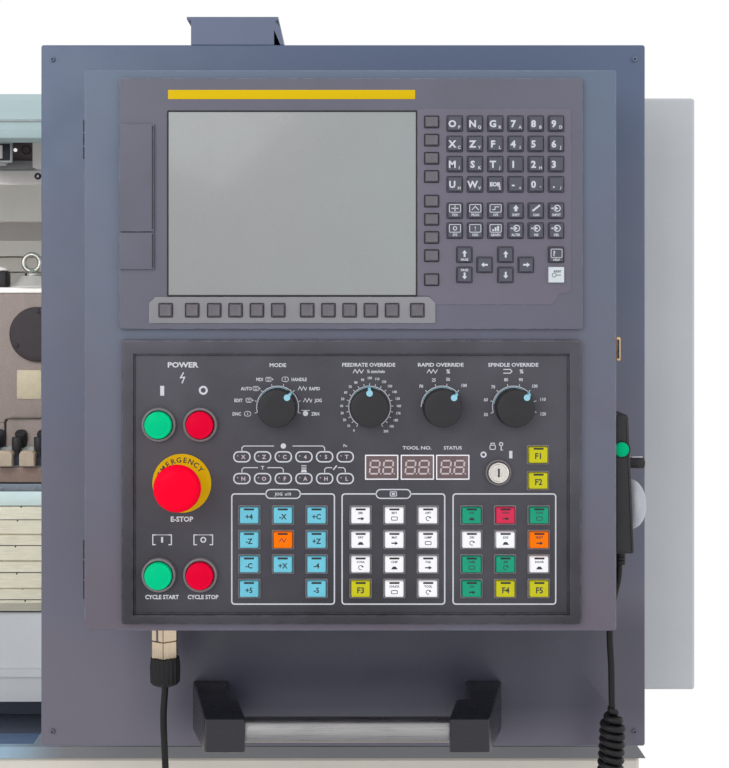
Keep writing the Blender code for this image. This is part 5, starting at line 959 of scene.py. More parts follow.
def print_dials(ink):
    """Scales, names and small signs round the four rotary switches, and a painted highlight arc at the
    upper-left foot of each.
    """
    mode, feed, rapid, spindle = (np.array((x, -49.3)) for x in (-62.2, 16.9, 79.2, 140.5))
    dial_print(ink, mode, [(195 - 30 * step, "", 0, 1) for step in range(8)], 195, -15)
    for text, spot in (("MDI", (-77.7, -25.5)), ("HANDLE", (-43.8, -25.5)), ("AUTO", (-89.0, -33.4)),
                       ("RAPID", (-30.4, -33.4)), ("EDIT", (-95.9, -43.5)), ("JOG", (-27.2, -43.5)),
                       ("DNC", (-97.3, -55.1)), ("ZRN", (-29.7, -55.1))):
        ink.word(text, spot, 2.9, PRINT, wide=0.85, heavy=0.12)
    for x, y, kind in ((-69.3, -25.5, 0), (-55.7, -25.5, 1), (-80.3, -33.4, 0), (-40.7, -33.3, 2),
                       (-86.3, -43.5, 0), (-36.1, -43.5, 2), (-88.0, -55.1, 1), (-38.3, -54.8, 3)):
        if kind == 0:
            ink.band(rounded(4.8, 3.6, 0.8, 2), 0.5, PRINT, (x - 0.6, y))
            ink.patch([(x + 1.2, y - 1.7), (x + 3.6, y), (x + 1.2, y + 1.7)], PRINT)
            for rise in (0.7, -0.7):
                ink.stroke([(x - 1.8, y + rise), (x + 0.6, y + rise)], 0.5, PRINT)
        elif kind == 1:
            ink.band(rounded(5.6, 4.0, 2.0, 4), 0.5, PRINT, (x, y))
            ink.stroke([(x, y - 1.0), (x, y + 1.0)], 0.6, PRINT)
        elif kind == 2:
            ink.stroke([(x - 4, y - 1.6), (x - 2.4, y + 1.6), (x - 0.8, y - 1.6), (x + 0.8, y + 1.6),
                        (x + 2.4, y - 1.6), (x + 3.4, y + 1.0)], 0.55, PRINT)
        else:
            ink.patch(circle(2.3, 16)(0) + (x, y), PRINT)
            ink.stroke([(x - 3.6, y + 2.6), (x + 3.6, y + 2.6)], 0.5, PRINT)
    scale = [(236 - 14.6 * step, str(step * 10), 24.2 if step < 10 else 25.0, 2.2) for step in range(21)]
    dial_print(ink, feed, scale, 236, -56)
    dial_print(ink, rapid, [(135, "F0", 25.4, 2.8), (107, "25", 24.4, 2.8), (78, "50", 24.4, 2.8),
                            (45, "100", 26.4, 2.8)], 180, 45)
    dial_print(ink, spindle, [(195, "50", 24.6, 2.8), (165, "60", 24.6, 2.8), (135, "70", 24.6, 2.8),
                              (105, "80", 24.4, 2.8), (75, "90", 24.4, 2.8), (45, "100", 25.6, 2.8),
                              (15, "110", 26.0, 2.8), (-13, "120", 26.0, 2.8)], 195, 45)
    # Pale blue arc hugging each switch's upper-left foot: painted highlight.
    for middle in (mode, feed, rapid, spindle):
        t = np.radians(np.linspace(170, 60, 30))
        ink.stroke(middle + 16.9 * np.column_stack([np.cos(t), np.sin(t)]), 0.5, PRINT, 3)
    for x, y in ((8.6, -18.6), (72.2, -18.6)):
        ink.stroke([(x - 6, y - 1.5), (x - 4.2, y + 1.5), (x - 2.4, y - 1.5), (x - 0.6, y + 1.5),
                    (x + 1.2, y - 1.5), (x + 3, y + 1.5)], 0.7, PRINT)
    x, y = (135.8, -18.6)
    ink.stroke([(x - 4, y + 1.6), (x + 2, y + 1.6), (x + 3.4, y), (x + 2, y - 1.6), (x - 4, y - 1.6)],
               0.8, PRINT)


def half_bracket(ink, lamp, inner, level):
    """Line that rises beside a lamp and turns, with its corner cut, towards the bracket's middle."""
    path = [(lamp, level - 4.2), (lamp, level - 1.5), (lamp + (1.6 if inner > lamp else -1.6), level),
            (inner, level)]
    ink.stroke(path if inner > lamp else path[::-1], 0.75, PRINT)


def print_lamps(ink):
    """Two rows of lettered lamps with the brackets and signs over them."""
    lamps = [-92.9, -75.1, -57.3, -39.6, -21.8, -4.1]
    for y, word in ((-92.1, "XZC45T"), (-110.8, "NOFAHL")):
        for x, letter in zip(lamps, word):
            ink.band(rounded(13.9, 8.6, 4.0, 5), 1.15, PRINT, (x, y))
            ink.word(letter, (x + 1.2, y), 3.5, PRINT, 2, heavy=0.15)
            ink.patch(circle(0.5, 8)(0) + (x - 3.6, y + 0.8), PRINT, 2)
    top, low = -82.8, -101.4
    half_bracket(ink, lamps[0], -65.3, top)
    half_bracket(ink, lamps[4], -49.3, top)
    ink.patch(circle(2.3, 20)(0) + (lamps[2], top), PRINT)
    half_bracket(ink, lamps[0], -79.1, low)
    half_bracket(ink, lamps[2], -71.0, low)
    ink.word("T", (lamps[1], low), 3.0, PRINT, heavy=0.15)
    for step in range(3):
        y = low + 1.8 - step * 1.4
        ink.stroke([(lamps[3] - 2.2, y), (lamps[3] + 2.2, y)], 0.6, PRINT)
    ink.patch([(lamps[3] - 2.6, low - 4.0), (lamps[3] + 2.6, low - 4.0), (lamps[3] + 1.8, low - 1.7),
               (lamps[3] - 1.8, low - 1.7)], PRINT)
    half_bracket(ink, lamps[4], lamps[4] + 6.4, low)
    half_bracket(ink, lamps[5], lamps[5] - 6.4, low)
    ink.stroke([(lamps[4] + 7.4, low - 1.8), (lamps[4] + 10.4, low + 1.8)], 1.1, PRINT)


def print_key_frames(ink):
    """Rounded frames round the three blocks of keys, the first two with a sign in their top line."""
    half, low, high, corner = 44.1, -218.7, -124.0, 2.4
    t = np.linspace(0, math.pi / 2, 5)[:, None]
    turn = [np.column_stack([np.cos(t + k * math.pi / 2), np.sin(t + k * math.pi / 2)]) * corner
            for k in range(4)]
    mids = ((half - corner, high - corner), (-half + corner, high - corner),
            (-half + corner, low + corner), (half - corner, low + corner))
    for x, gap in ((-57.5, 14.8), (37.3, 14.8), (132.7, 0.0)):
        line = np.concatenate([[(gap, high)], *(turn[k][::-1] + mids[k] for k in (0, 3, 2, 1)),
                               [(-gap, high)]])
        ink.stroke(line + (x, 0), 1.15, PRINT)
        if gap:
            ink.band(rounded(29.6, 7.6, 3.7, 5), 1.0, PRINT, (x, high))
    ink.word("JOG  x10", (-57.5, high), 2.6, PRINT, heavy=0.1)
    ink.band(rounded(5.4, 3.6, 0.4, 2), 0.7, PRINT, (37.3, high))
    ink.stroke([(37.3 - 1.4, high), (37.3 + 1.4, high)], 1.6, PRINT)


def print_window_signs(ink):
    """Figures in the three display windows and the signs round the key switch."""
    for x in DISPLAY_X:
        for side in (-5.9, 5.6):
            seven_segment(ink, x + side, DISPLAY_Y)
    x, y = (114.8, -90.2)
    ink.band(circle(2.0, 20), 1.3, PRINT, (x, y))
    x, y = (138.2, -90.2)
    ink.patch([(x - 1.4, y - 3.2), (x + 1.4, y - 3.2), (x + 1.4, y + 3.2), (x - 1.4, y + 3.2)], PRINT)
    x, y = (122.6, -83.0)
    ink.band(rounded(4.6, 3.6, 0.6, 2), 0.7, PRINT, (x, y - 0.9))
    ink.stroke([(x - 1.5, y + 1.0), (x - 1.5, y + 2.6), (x + 1.5, y + 2.6), (x + 1.5, y + 1.0)], 0.7, PRINT)
    x, y = (129.9, -83.0)
    ink.band(circle(1.4, 16), 0.9, PRINT, (x, y + 1.8))
    ink.stroke([(x, y + 0.4), (x, y - 3.8)], 0.9, PRINT)
    ink.stroke([(x, y - 3.2), (x + 1.6, y - 3.2)], 0.7, PRINT)


def seven_segment(ink, x, y):
    """Figure eight of seven unlit bars, leaning a little."""
    tall, wide = 5.6, 4.0
    bars = [((-wide, tall), (wide, tall)), ((-wide, 0), (wide, 0)), ((-wide, -tall), (wide, -tall)),
            ((-wide, 0), (-wide, tall)), ((wide, 0), (wide, tall)), ((-wide, 0), (-wide, -tall)),
            ((wide, 0), (wide, -tall))]
    for start, end in bars:
        start, end = np.array(start, float), np.array(end, float)
        along = (end - start) / np.linalg.norm(end - start)
        points = np.array([start + along * 0.8, end - along * 0.8])
        points[:, 0] += points[:, 1] * 0.1
        ink.stroke(points + (x, y), 1.35, 3.5, 2)
    ink.patch(circle(0.6, 8)(0) + (x + 5.2, y - tall), 3.5, 2)


def print_key_signs(ink):
    """Signs on the operator's keys."""
    z = KEY_PRINT
    for word, x, y in (("+4", -86.5, -142.1), ("-X", -57.6, -142.1), ("+C", -28.7, -142.1),
                       ("-Z", -86.5, -163.1), ("+Z", -28.7, -163.1), ("-C", -86.5, -184.1),
                       ("+X", -57.6, -184.1), ("-4", -28.7, -184.1), ("+5", -86.5, -205.1),
                       ("-5", -28.7, -205.1), ("F1", 161.4, -90.2), ("F2", 161.4, -112.4),
                       ("F3", 9.1, -205.1), ("F4", 133.2, -205.1), ("F5", 162.1, -205.1)):
        ink.word(word, (x, y - 0.6), 4.6 if word[0] != "F" else 5.2, z, 1, wide=0.95, heavy=0.2)
    ink.stroke([(-60.6, -164.6), (-58.6, -161.4), (-56.6, -164.6), (-54.6, -161.4)], 0.6, z, 1)
    signs = {(9.1, -142.1): "SBK", (38.0, -142.1): "BDT", (66.9, -142.1): "OPT", (9.1, -163.1): "DRY",
             (38.0, -163.1): "MLK", (66.9, -163.1): "LAMP", (9.1, -184.1): "COOL", (38.0, -184.1): "CHIP",
             (66.9, -184.1): "TAIL", (38.0, -205.1): "CHUCK", (66.9, -205.1): "TOOL", (104.3, -142.1): "CW",
             (133.2, -142.1): "STOP", (162.1, -142.1): "CCW", (104.3, -163.1): "ORI", (133.2, -163.1): "JOG",
             (162.1, -163.1): "RESET", (104.3, -184.1): "LUBE", (133.2, -184.1): "AIR",
             (162.1, -184.1): "DOOR", (104.3, -205.1): "ON"}
    for number, ((x, y), word) in enumerate(signs.items()):
        ink.word(word, (x, y + 2.6), 1.9, z, 1, wide=0.95, heavy=0.08)
        kind = number % 4
        if kind == 0:
            ink.stroke([(x - 2.6, y - 2.4), (x + 1.0, y - 2.4)], 1.1, z, 1)
            ink.patch([(x + 0.6, y - 4.0), (x + 3.2, y - 2.4), (x + 0.6, y - 0.8)], z, 1)
        elif kind == 1:
            ink.band(rounded(5.0, 2.8, 0.6, 2), 0.6, z, (x, y - 2.3), 1)
        elif kind == 2:
            t = np.radians(np.linspace(20, 300, 14))
            ink.stroke(np.column_stack([np.cos(t), np.sin(t)]) * 1.8 + (x, y - 2.3), 0.6, z, 1)
            ink.patch([(x + 0.6, y - 2.0), (x + 2.8, y - 2.0), (x + 1.7, y - 0.4)], z, 1)
        else:
            ink.patch([(x - 2.8, y - 3.8), (x + 2.8, y - 3.8), (x + 1.2, y - 1.4), (x - 1.2, y - 1.4)], z, 1)


def print_stop_word(ink):
    """Word bent round the yellow plate of the emergency stop."""
    radius = 20.3
    for number, letter in enumerate("EMERGENCY"):
        a = math.radians(157 - number * 15)
        points, faces = letters(letter)
        spin = np.array([(math.sin(a), -math.cos(a), 0), (math.cos(a), math.sin(a), 0), (0, 0, 1)])
        middle = (STOP_MIDDLE[0] + radius * math.cos(a), STOP_MIDDLE[1] + radius * math.sin(a), 4.38)
        ink.add((points * 4.6) @ spin + middle, faces, 1)


def make_panel_print():
    """Screen print of the operator panel and its keys."""
    ink = Piece("panel_print", "console_front", WHITE_INK, DARK_INK, DIM_INK, BLUE_INK, STRIPE, slot="panel")
    print_titles(ink)
    print_dials(ink)
    print_lamps(ink)
    print_key_frames(ink)
    print_window_signs(ink)
    print_key_signs(ink)
    print_stop_word(ink)
    ink.done()


def make_controls():
    """Rotary switches, push buttons, emergency stop and key switch."""
    base = PANEL_FLOOR + 0.3
    for node, body, x, angle in (("mode_knob", "mode_switch", -62.5, 46),
                                 ("feed_knob", "feed_switch", 16.5, 90),
                                 ("rapid_knob", "rapid_switch", 79.0, 45),
                                 ("spindle_knob", "spindle_switch", 141.0, 46)):
        knob = Piece(node + "_cap", body, BLACK, BLUE_INK, slot="black", replaces=(node,))
        t = np.arange(96) * 2 * math.pi / 96
        wave = 1 + 0.010 * np.cos(24 * t)
        ring = np.column_stack([np.cos(t), np.sin(t)])
        knob.plate(lambda inset: ring * -inset * (wave[:, None] if -15.9 > inset > -16.5 else 1.0),
                   [(-16.7, 0.0), (-16.7, 1.2), (-16.4, 1.7), (-16.1, 12.2), (-16.0, 13.2), (-15.6, 13.8),
                    (-15.0, 14.0), (-8.0, 14.05)], (x, KNOB_Y, base))
        way = np.array([math.cos(math.radians(angle)), math.sin(math.radians(angle))])
        knob.patch(circle(2.75, 24)(0) + (x, KNOB_Y) + way * 13.0, base + 14.12, 1)
        rib = [(x + way[0] * reach, KNOB_Y + way[1] * reach, base + level)
               for reach, level in ((15.0, 13.7), (16.2, 12.6), (16.6, 6.0), (17.9, 0.9))]
        knob.tube(rib, (-way[1], way[0], 0), (1.3, 1.4, 1.2, 1.2), 8, 1)
        knob.done()
    lenses = (("power_on_button", "power_on", LENS_GREEN),
              ("power_off_button", "power_off", LENS_RED),
              ("cycle_start_button", "cycle_start", LENS_GREEN),
              ("cycle_stop_button", "cycle_stop", LENS_RED))
    for (node, body, finish), spot in zip(lenses, BUTTONS):
        cap = Piece(node + "_lens", body, finish, slot="green" if "green" in finish.name else "red",
                    replaces=(node,))
        cap.turned([(11.6, 3.4), (11.6, 7.4), (11.2, 8.4), (10.2, 8.9), (9.2, 8.7), (8.6, 8.9), (6.0, 9.6),
                    (2.5, 9.8)], (*spot, base), steps=48)
        cap.done()
    stop = Piece("stop_mushroom", "stop_head", STOP_GLOW_RED, slot="red", replaces=("emergency_stop",))
    stop.turned([(9.4, 5.8), (9.4, 19.0), (12.5, 19.4), (16.2, 21.6), (19.2, 25.2), (20.0, 28.6),
                 (19.9, 30.4), (19.0, 33.0), (17.2, 35.2), (14.4, 36.8), (11.0, 37.5), (6.0, 37.9),
                 (2.0, 38.0)], (*STOP_MIDDLE, base), steps=72)
    stop.done()
    lock = Piece("key_switch_barrel", "key_lock", CHROME, BLACK, slot="chrome", replaces=("key_switch",))
    lock.turned([(9.2, 0.0), (9.2, 3.3), (8.7, 4.2), (7.6, 4.4), (7.2, 4.0), (3.0, 3.9), (2.6, 4.5),
                 (1.0, 4.5)], (*KEY_LOCK, base), steps=48)
    lock.box((126.6, -109.0, base + 4.1), (128.2, -101.8, base + 4.62), 0.15, 1)
    lock.done()


# Screen, handle, pendant and console body

def screen_finish():
    """Grey glass that is off: slow cloudiness, faint dust and a clear coat."""
    f = Finish("screen_glass", 0.28, specular_ior_level=0.3, coat_weight=0.25, coat_roughness=0.12)
    cloud = f.spread(f.noise(160, 2), 0.3, 0.7)
    dust = f.spread(f.noise(2.2, 5), 0.62, 0.8) * 0.12
    clean = f.blend(cloud, tone(158, 163, 162), tone(157, 157, 156))
    f.feed(base_color=f.blend(dust, clean, tone(196, 199, 198)),
           roughness=f.spread(f.noise(22, 5), 0.3, 0.7, 0.22, 0.36))
    return f.material


def make_screen():
    """Screen glass a little behind its gasket."""
    glass = Piece("screen_pane", "console_front", screen_finish(), slot="screen", replaces=("screen",))
    glass.plate(rounded(212.4, 157.2, 0.6, 3), [(0, 4.4), (0, 4.7), (0.3, 4.85)], SCREEN_MIDDLE)
    glass.done()


PAN_FACE = -90.0
HANDLE = (-2.3, -336.8, -26.2)
BRACKET_FOOT = 47.0
BRACKET_TIP = 30.5


def make_handle():
    """Two leaning brackets, each with a collar round the tube, and a brushed tube."""
    for side, node in ((-1, "handle_bracket_left"), (1, "handle_bracket_right")):
        bracket = Piece(node + "_casting", "console", GLOSS_BLACK, HOLLOW, slot="black", replaces=(node,),
                        sharp=28)
        outline = rounded(33.0, BRACKET_FOOT, 2.6, 4)
        t = np.array([0.0, 0.02, 0.3, 0.5, 0.53, 0.95, 0.985, 1.0])
        inset = np.array([0.8, 0.0, 0.0, 0.0, 0.0, 0.0, 0.6, 1.6])
        step_in = np.array([0.0, 0.0, 4.6, 8.0, -3.0, -3.0, -3.0, -3.0])
        rings = []
        for share, step, move in zip(t, inset, step_in):
            ring = outline(step)
            ring[:, 0] += np.where(ring[:, 0] * side < 0, side * move, 0.0)
            tall = BRACKET_FOOT + (BRACKET_TIP - BRACKET_FOOT) * share
            ring[:, 0] += HANDLE[0] + side * (128.0 - 20.2 * share)
            ring[:, 1] = ring[:, 1] * tall / BRACKET_FOOT + HANDLE[1]
            rings.append(np.column_stack([ring, np.full(len(ring), PAN_FACE + 80.0 * share)]))
        around = len(rings[0])
        ends = [list(range(around))[::-1], list(range((len(t) - 1) * around, len(t) * around))]
        bracket.add(np.concatenate(rings), strip_faces(len(t), around).tolist() + ends)
        bracket.turned([(13.4, 0.0), (13.4, 1.2), (12.6, 1.6), (11.4, 1.6), (11.2, 0.0)],
                       (HANDLE[0] + side * 94.8, *HANDLE[1:]), "x" if side < 0 else "left", 40, 0, True)
        bracket.done()
    tube = Piece("handle_tube_brushed", "console", ALUMINIUM, slot="aluminium", replaces=("handle_tube",))
    tube.turned([(9.6, -94.0), (11.0, -93.2), (11.0, 93.2), (9.6, 94.0)], HANDLE, "x", 64)
    tube.done()


def make_pendant():
    """Pendant body with its seam, wheel with a crank, two selectors and a green button."""
    body = Piece("pendant_case", "console", BLACK, RUBBER, slot="black", replaces=("pendant_body",), sharp=30)
    side = polygon([(230.4, -178.6), (246.6, -178.6), (247.9, -177.2), (243.0, -59.0), (241.6, -57.6),
                    (230.4, -57.6)])
    body.plate(side, [(1.2, -86.0), (0.3, -85.4), (0.0, -84.0), (0.0, -49.0), (0.6, -48.7), (0.6, -47.3),
                      (0.0, -47.0), (0.0, -13.0), (0.5, -11.2), (1.8, -10.2), (3.0, -10.0)])
    body.turned([(7.6, -10.4), (7.6, -9.4), (7.2, -9.0), (6.6, -9.1), (6.6, -12.4)], (236.4, -87.4, 0),
                tint=1, hollow=True, steps=32)
    body.turned([(4.2, -1.0), (5.4, -0.4), (5.5, 3.0), (5.0, 3.4), (5.5, 3.8), (5.5, 6.2), (5.0, 6.6),
                 (5.6, 7.0), (5.8, 12.0), (5.4, 16.4)], (242.3, -194.0, CORD_Z), "up", 24, 1)
    body.done()
    wheel = Piece("pendant_wheel_rim", "pulse_wheel", WHEEL_SILVER, BLACK, slot="aluminium",
                  replaces=("pendant_wheel",))
    wheel.turned([(6.0, -9.0), (6.2, -6.6), (18.0, -6.4), (20.6, -6.0), (22.0, -4.0), (22.1, -1.0),
                  (21.4, 1.4), (19.2, 4.4), (15.6, 7.2), (11.0, 9.2), (10.4, 8.8), (7.6, 8.8), (7.0, 9.6),
                  (2.0, 9.8)], (255.4, -141.0, -48.0), "x", 56)
    wheel.turned([(2.2, 3.0), (2.2, 9.0), (3.2, 9.4), (3.3, 12.0), (2.6, 12.9), (1.5, 13.0)],
                 (250.4, -130.6, -48.0), "x", 20)
    wheel.done()
    for node, body_name, depth, level in (("pendant_axis_knob", "axis_selector", -30.0, -101.6),
                                          ("pendant_step_knob", "step_selector", -66.0, -106.2)):
        knob = Piece(node + "_cap", body_name, BLACK, WHITE_INK, slot="black", replaces=(node,))
        teeth = circle(1.0, 40)(0) * (1 + 0.03 * np.cos(np.arange(40) * math.pi))[:, None]
        knob.plate(lambda inset: teeth * -inset, [(-4.6, -4.0), (-4.6, 6.4), (-4.9, 7.0), (-4.8, 13.0),
                                                  (-4.2, 14.2), (-2.4, 14.4)], (246.6, level, depth), "x")
        knob.box((249.4, level + 4.6, depth - 1.6), (259.4, level + 5.6, depth + 1.6), 0.3, 1)
        knob.done()
    button = Piece("pendant_button_lens", "enable", PENDANT_GREEN, slot="green", replaces=("pendant_button",))
    button.turned([(6.6, 0.2), (6.6, 2.0), (6.1, 3.2), (5.0, 3.8), (2.0, 4.0)], (236.4, -87.4, -11.5),
                  steps=40)
    button.done()


def screw_heads(piece, spots, radius, tint=0, axis="z"):
    """Button-head screws with a hexagon hollow, one small pattern at every spot."""
    piece.turned([(radius, 0.0), (radius, radius * 0.35), (radius * 0.8, radius * 0.62),
                  (radius * 0.5, radius * 0.7)], axis=axis, steps=14, tint=tint, spots=spots)
    piece.turned([(radius * 0.46, radius * 0.68), (radius * 0.46, radius * 0.74)], axis=axis, steps=6,
                 tint=1, spots=spots)


def make_console_trim():
    """Pan with its rolled edge and lower shoe, pan screws, nut of the plug's socket, and latch grip."""
    pan = Piece("console_pan_sheet", "console", PAN_SHADOW_GREY, slot="dark", replaces=("console_pan",))
    pan.plate(rounded(565.4, 656.4, 2.4, 4), [(3, -95), (3, -120), (0, -120), *soft_edge(-92, -90, 1.4)],
              (-6.1, -46.7))
    shoe = np.array([(92, 906.4), (92, 935.4), (218, 935.4), (218, 885.6), (192, 885.6), (192, 906.4)])
    pan.prism(np.column_stack([shoe[:, 1] - CONSOLE_Z, -shoe[:, 0]]), -104.3, 95.7)
    pan.done()
    trim = Piece("console_trim", "console", CONSOLE_REFLECTION_GREY, HOLLOW, NICKEL, slot="dark")
    screw_heads(trim, [(x, y, -89.9) for x in (-278.0, 266.6) for y in (268.0, -361.0)], 2.6)
    hexagon = circle(1, 12)(0)[1::2]
    nut = [(-11.4, 0.0), (-12.5, -0.8), (-12.5, -23.4), (-11.6, -24.3), (-8.0, -24.4)]
    trim.plate(lambda inset: hexagon * -inset, nut[::-1], (PLUG[0], -238.0, CORD_Z), "up", 2)
    trim.box((-166.3, -261.8, -33.1), (-165.7, -239.0, -32.2), 0.1, 1)
    trim.done()
    latch = Piece("console_latch_grip", "latch", BRASS, HOLLOW, slot="brass", replaces=("console_latch",))
    latch.box((229.9, -10.3, -45.0), (234.6, 10.8, -4.2), 1.6, 0, 3)
    latch.turned([(4.0, -1.4), (4.0, 1.2)], (230.2, 4.5, -36.0), "x", 20)
    latch.box((231.2, -8.2, -5.0), (233.4, 8.6, -4.05), 0.4, 1)
    latch.box((234.3, -7.0, -24.0), (234.75, 7.0, -8.0), 0.2, 1)
    latch.done()


# Machine: covers, slides and what is behind

OPEN_LEFT = -964.6
OPEN_RIGHT = -318.4
SLIDE_X = -450
BOLT_PITCH = 31.6


def make_lamp():
    """Work lamp under the hood, and the recess, shelf and wall boards behind it."""
    lamp = Piece("work_lamp_housing", "machine", LAMP_GREY, HOLLOW, GLOW, POST_GLOW_GREY, into=machine,
                 slot="lamp", replaces=("work_lamp",), sharp=25)
    lamp.box((-800, 316, 1474.4), (-373.7, 320.6, 1497.2), 1.2)
    lamp.box((-796, 320, 1476.4), (-393, 371, 1496.2), 2.4)
    lamp.box((-797, 315.4, 1476.4), (-375.6, 317, 1495.2), 0.6, 1)
    for x in (-794, -712, -630, -548, -466):
        lamp.box((x, 314.9, 1478.6), (x + 82 if x > -470 else x + 76, 316.6, 1493.4), 0.5, 3)
    for x in (-770, -590, -400):
        lamp.prism([(330, 1496), (360, 1496), (366, 1519.4), (324, 1519.4)], x - 9, x + 9, 3)
    lamp.done()
    inside = Piece("lamp_recess_and_boards", "machine", RECESS_RED, SHELF_GREY, POST_GLOW_GREY, INNER, BOARD_SHADE,
                   GLOW, STEEL, HOLLOW, into=machine, slot="shell", sharp=30)
    inside.box((-800, 388, 1484), (-367.4, 398.5, 1518.5), 0.6, 0)
    inside.box((-800, 383, 1475), (-367, 398.5, 1484), 0.8, 1)
    inside.box((-366.6, 378, 1475), (-320, 398.5, 1518.5), 1.2, 2)
    inside.box((-962, 396, 1458.7), (-321, 418, 1473.6), 1.2, 2)
    for x in (-389, -560, -730):
        inside.turned([(2.1, 0), (2.1, 1.2), (1.5, 1.8)], (x, 388, 1497.0), "down", 20, 5)
        inside.turned([(5.6, 0), (5.6, 1.0), (4.4, 1.4), (4.4, 0.2)], (x + 13, 388, 1497.0), "down", 20, 7,
                      True)
    for x in (-364.4, -650, -920):
        inside.turned([(4.0, 0), (4.0, 1.8), (3.4, 2.2), (2.2, 2.2), (1.8, 0.6), (1.0, 0.6)],
                      (x, 396, 1466.8), "down", 20, 7)
        inside.turned([(2.0, 0.4), (2.0, 1.2), (1.4, 1.6)], (x, 396, 1466.8), "down", 12, 6)
    # The second board, in tint 4, is painted shade under the board above it.
    boards = (([(927, 1447), (946, 1447), (946, 1507.6), (929.6, 1507.6)], 3),
              ([(941, 1417.4), (945, 1446.4), (958, 1446.4), (958, 1417.4)], 4),
              ([(936, 1391.4), (941, 1417), (958, 1417), (958, 1391.4)], 3),
              ([(950, 1366.6), (953, 1389.4), (975, 1389.4), (975, 1366.6)], 3),
              ([(953, 1300), (957, 1364.6), (975, 1364.6), (975, 1300)], 3))
    for outline, tint in boards:
        inside.prism(outline, -963, -320.4, tint)
    for x in (-930, -640, -350):
        for y, z in ((925.9, 1497), (934.6, 1404), (949.4, 1377), (951.6, 1340)):
            inside.turned([(4.0, -1.4), (4.0, 0.8), (3.2, 1.6), (1.8, 1.8)], (x, y, z), "down", 16, 6)
    inside.done()


def make_hood_strips_shadow_and_mats():
    """Strips on the hood's edges, one a painted highlight under the rib; dark sheets of painted shadow in the
    toe gap; the mats and studs on the drip tray.
    """
    hood = Piece("hood_edge_strips", "machine", HOOD, LAMP_GREY, SLAT_CREAM, HOLLOW, into=machine,
                 slot="shell")
    hood.box((-964.8, 260.2, 1494.3), (-318.2, 300, 1502.4), 0.8)
    # Pale strip on the rib's lower edge: painted highlight.
    hood.box((-1499, 258.8, 1512.5), (299, 262.4, 1514.2), 0.4, 1)
    hood.box((OPEN_LEFT, 263.4, 983.6), (OPEN_RIGHT, 299.6, 984.5), 0.3, 2)
    hood.box((OPEN_LEFT, 262.6, 983.4), (OPEN_RIGHT, 263.6, 984.7), 0.2, 3)
    hood.done()
    mats = Piece("toe_shadow_and_tray_mats", "machine", TOE_GAP_SHADOW, MAT_BLUE, STEEL, TRAY_SHADOWED_BLUE, into=machine,
                 slot="dark")
    # Painted shadow in the toe gap: an upright and a flat dark sheet.
    mats.box((OPEN_LEFT, 283.2, 867.4), (OPEN_RIGHT, 285.1, 886.9), 0.6)
    mats.box((OPEN_LEFT, 222.5, 866.4), (OPEN_RIGHT, 283, 867.5), 0.4)
    mats.box((-1498, 192, 858.6), (OPEN_RIGHT, 222.2, 867.35), 0.4, 1)
    mats.box((-1498, 189.8, 858.4), (OPEN_RIGHT, 192.4, 867.4), 0.5, 3)
    for x in range(-1480, -330, 120):
        mats.turned([(3.6, 0), (3.4, 0.7), (2.4, 1.3), (0.8, 1.5)], (x, 207, 867.2), "z", 14, 2)
    mats.done()


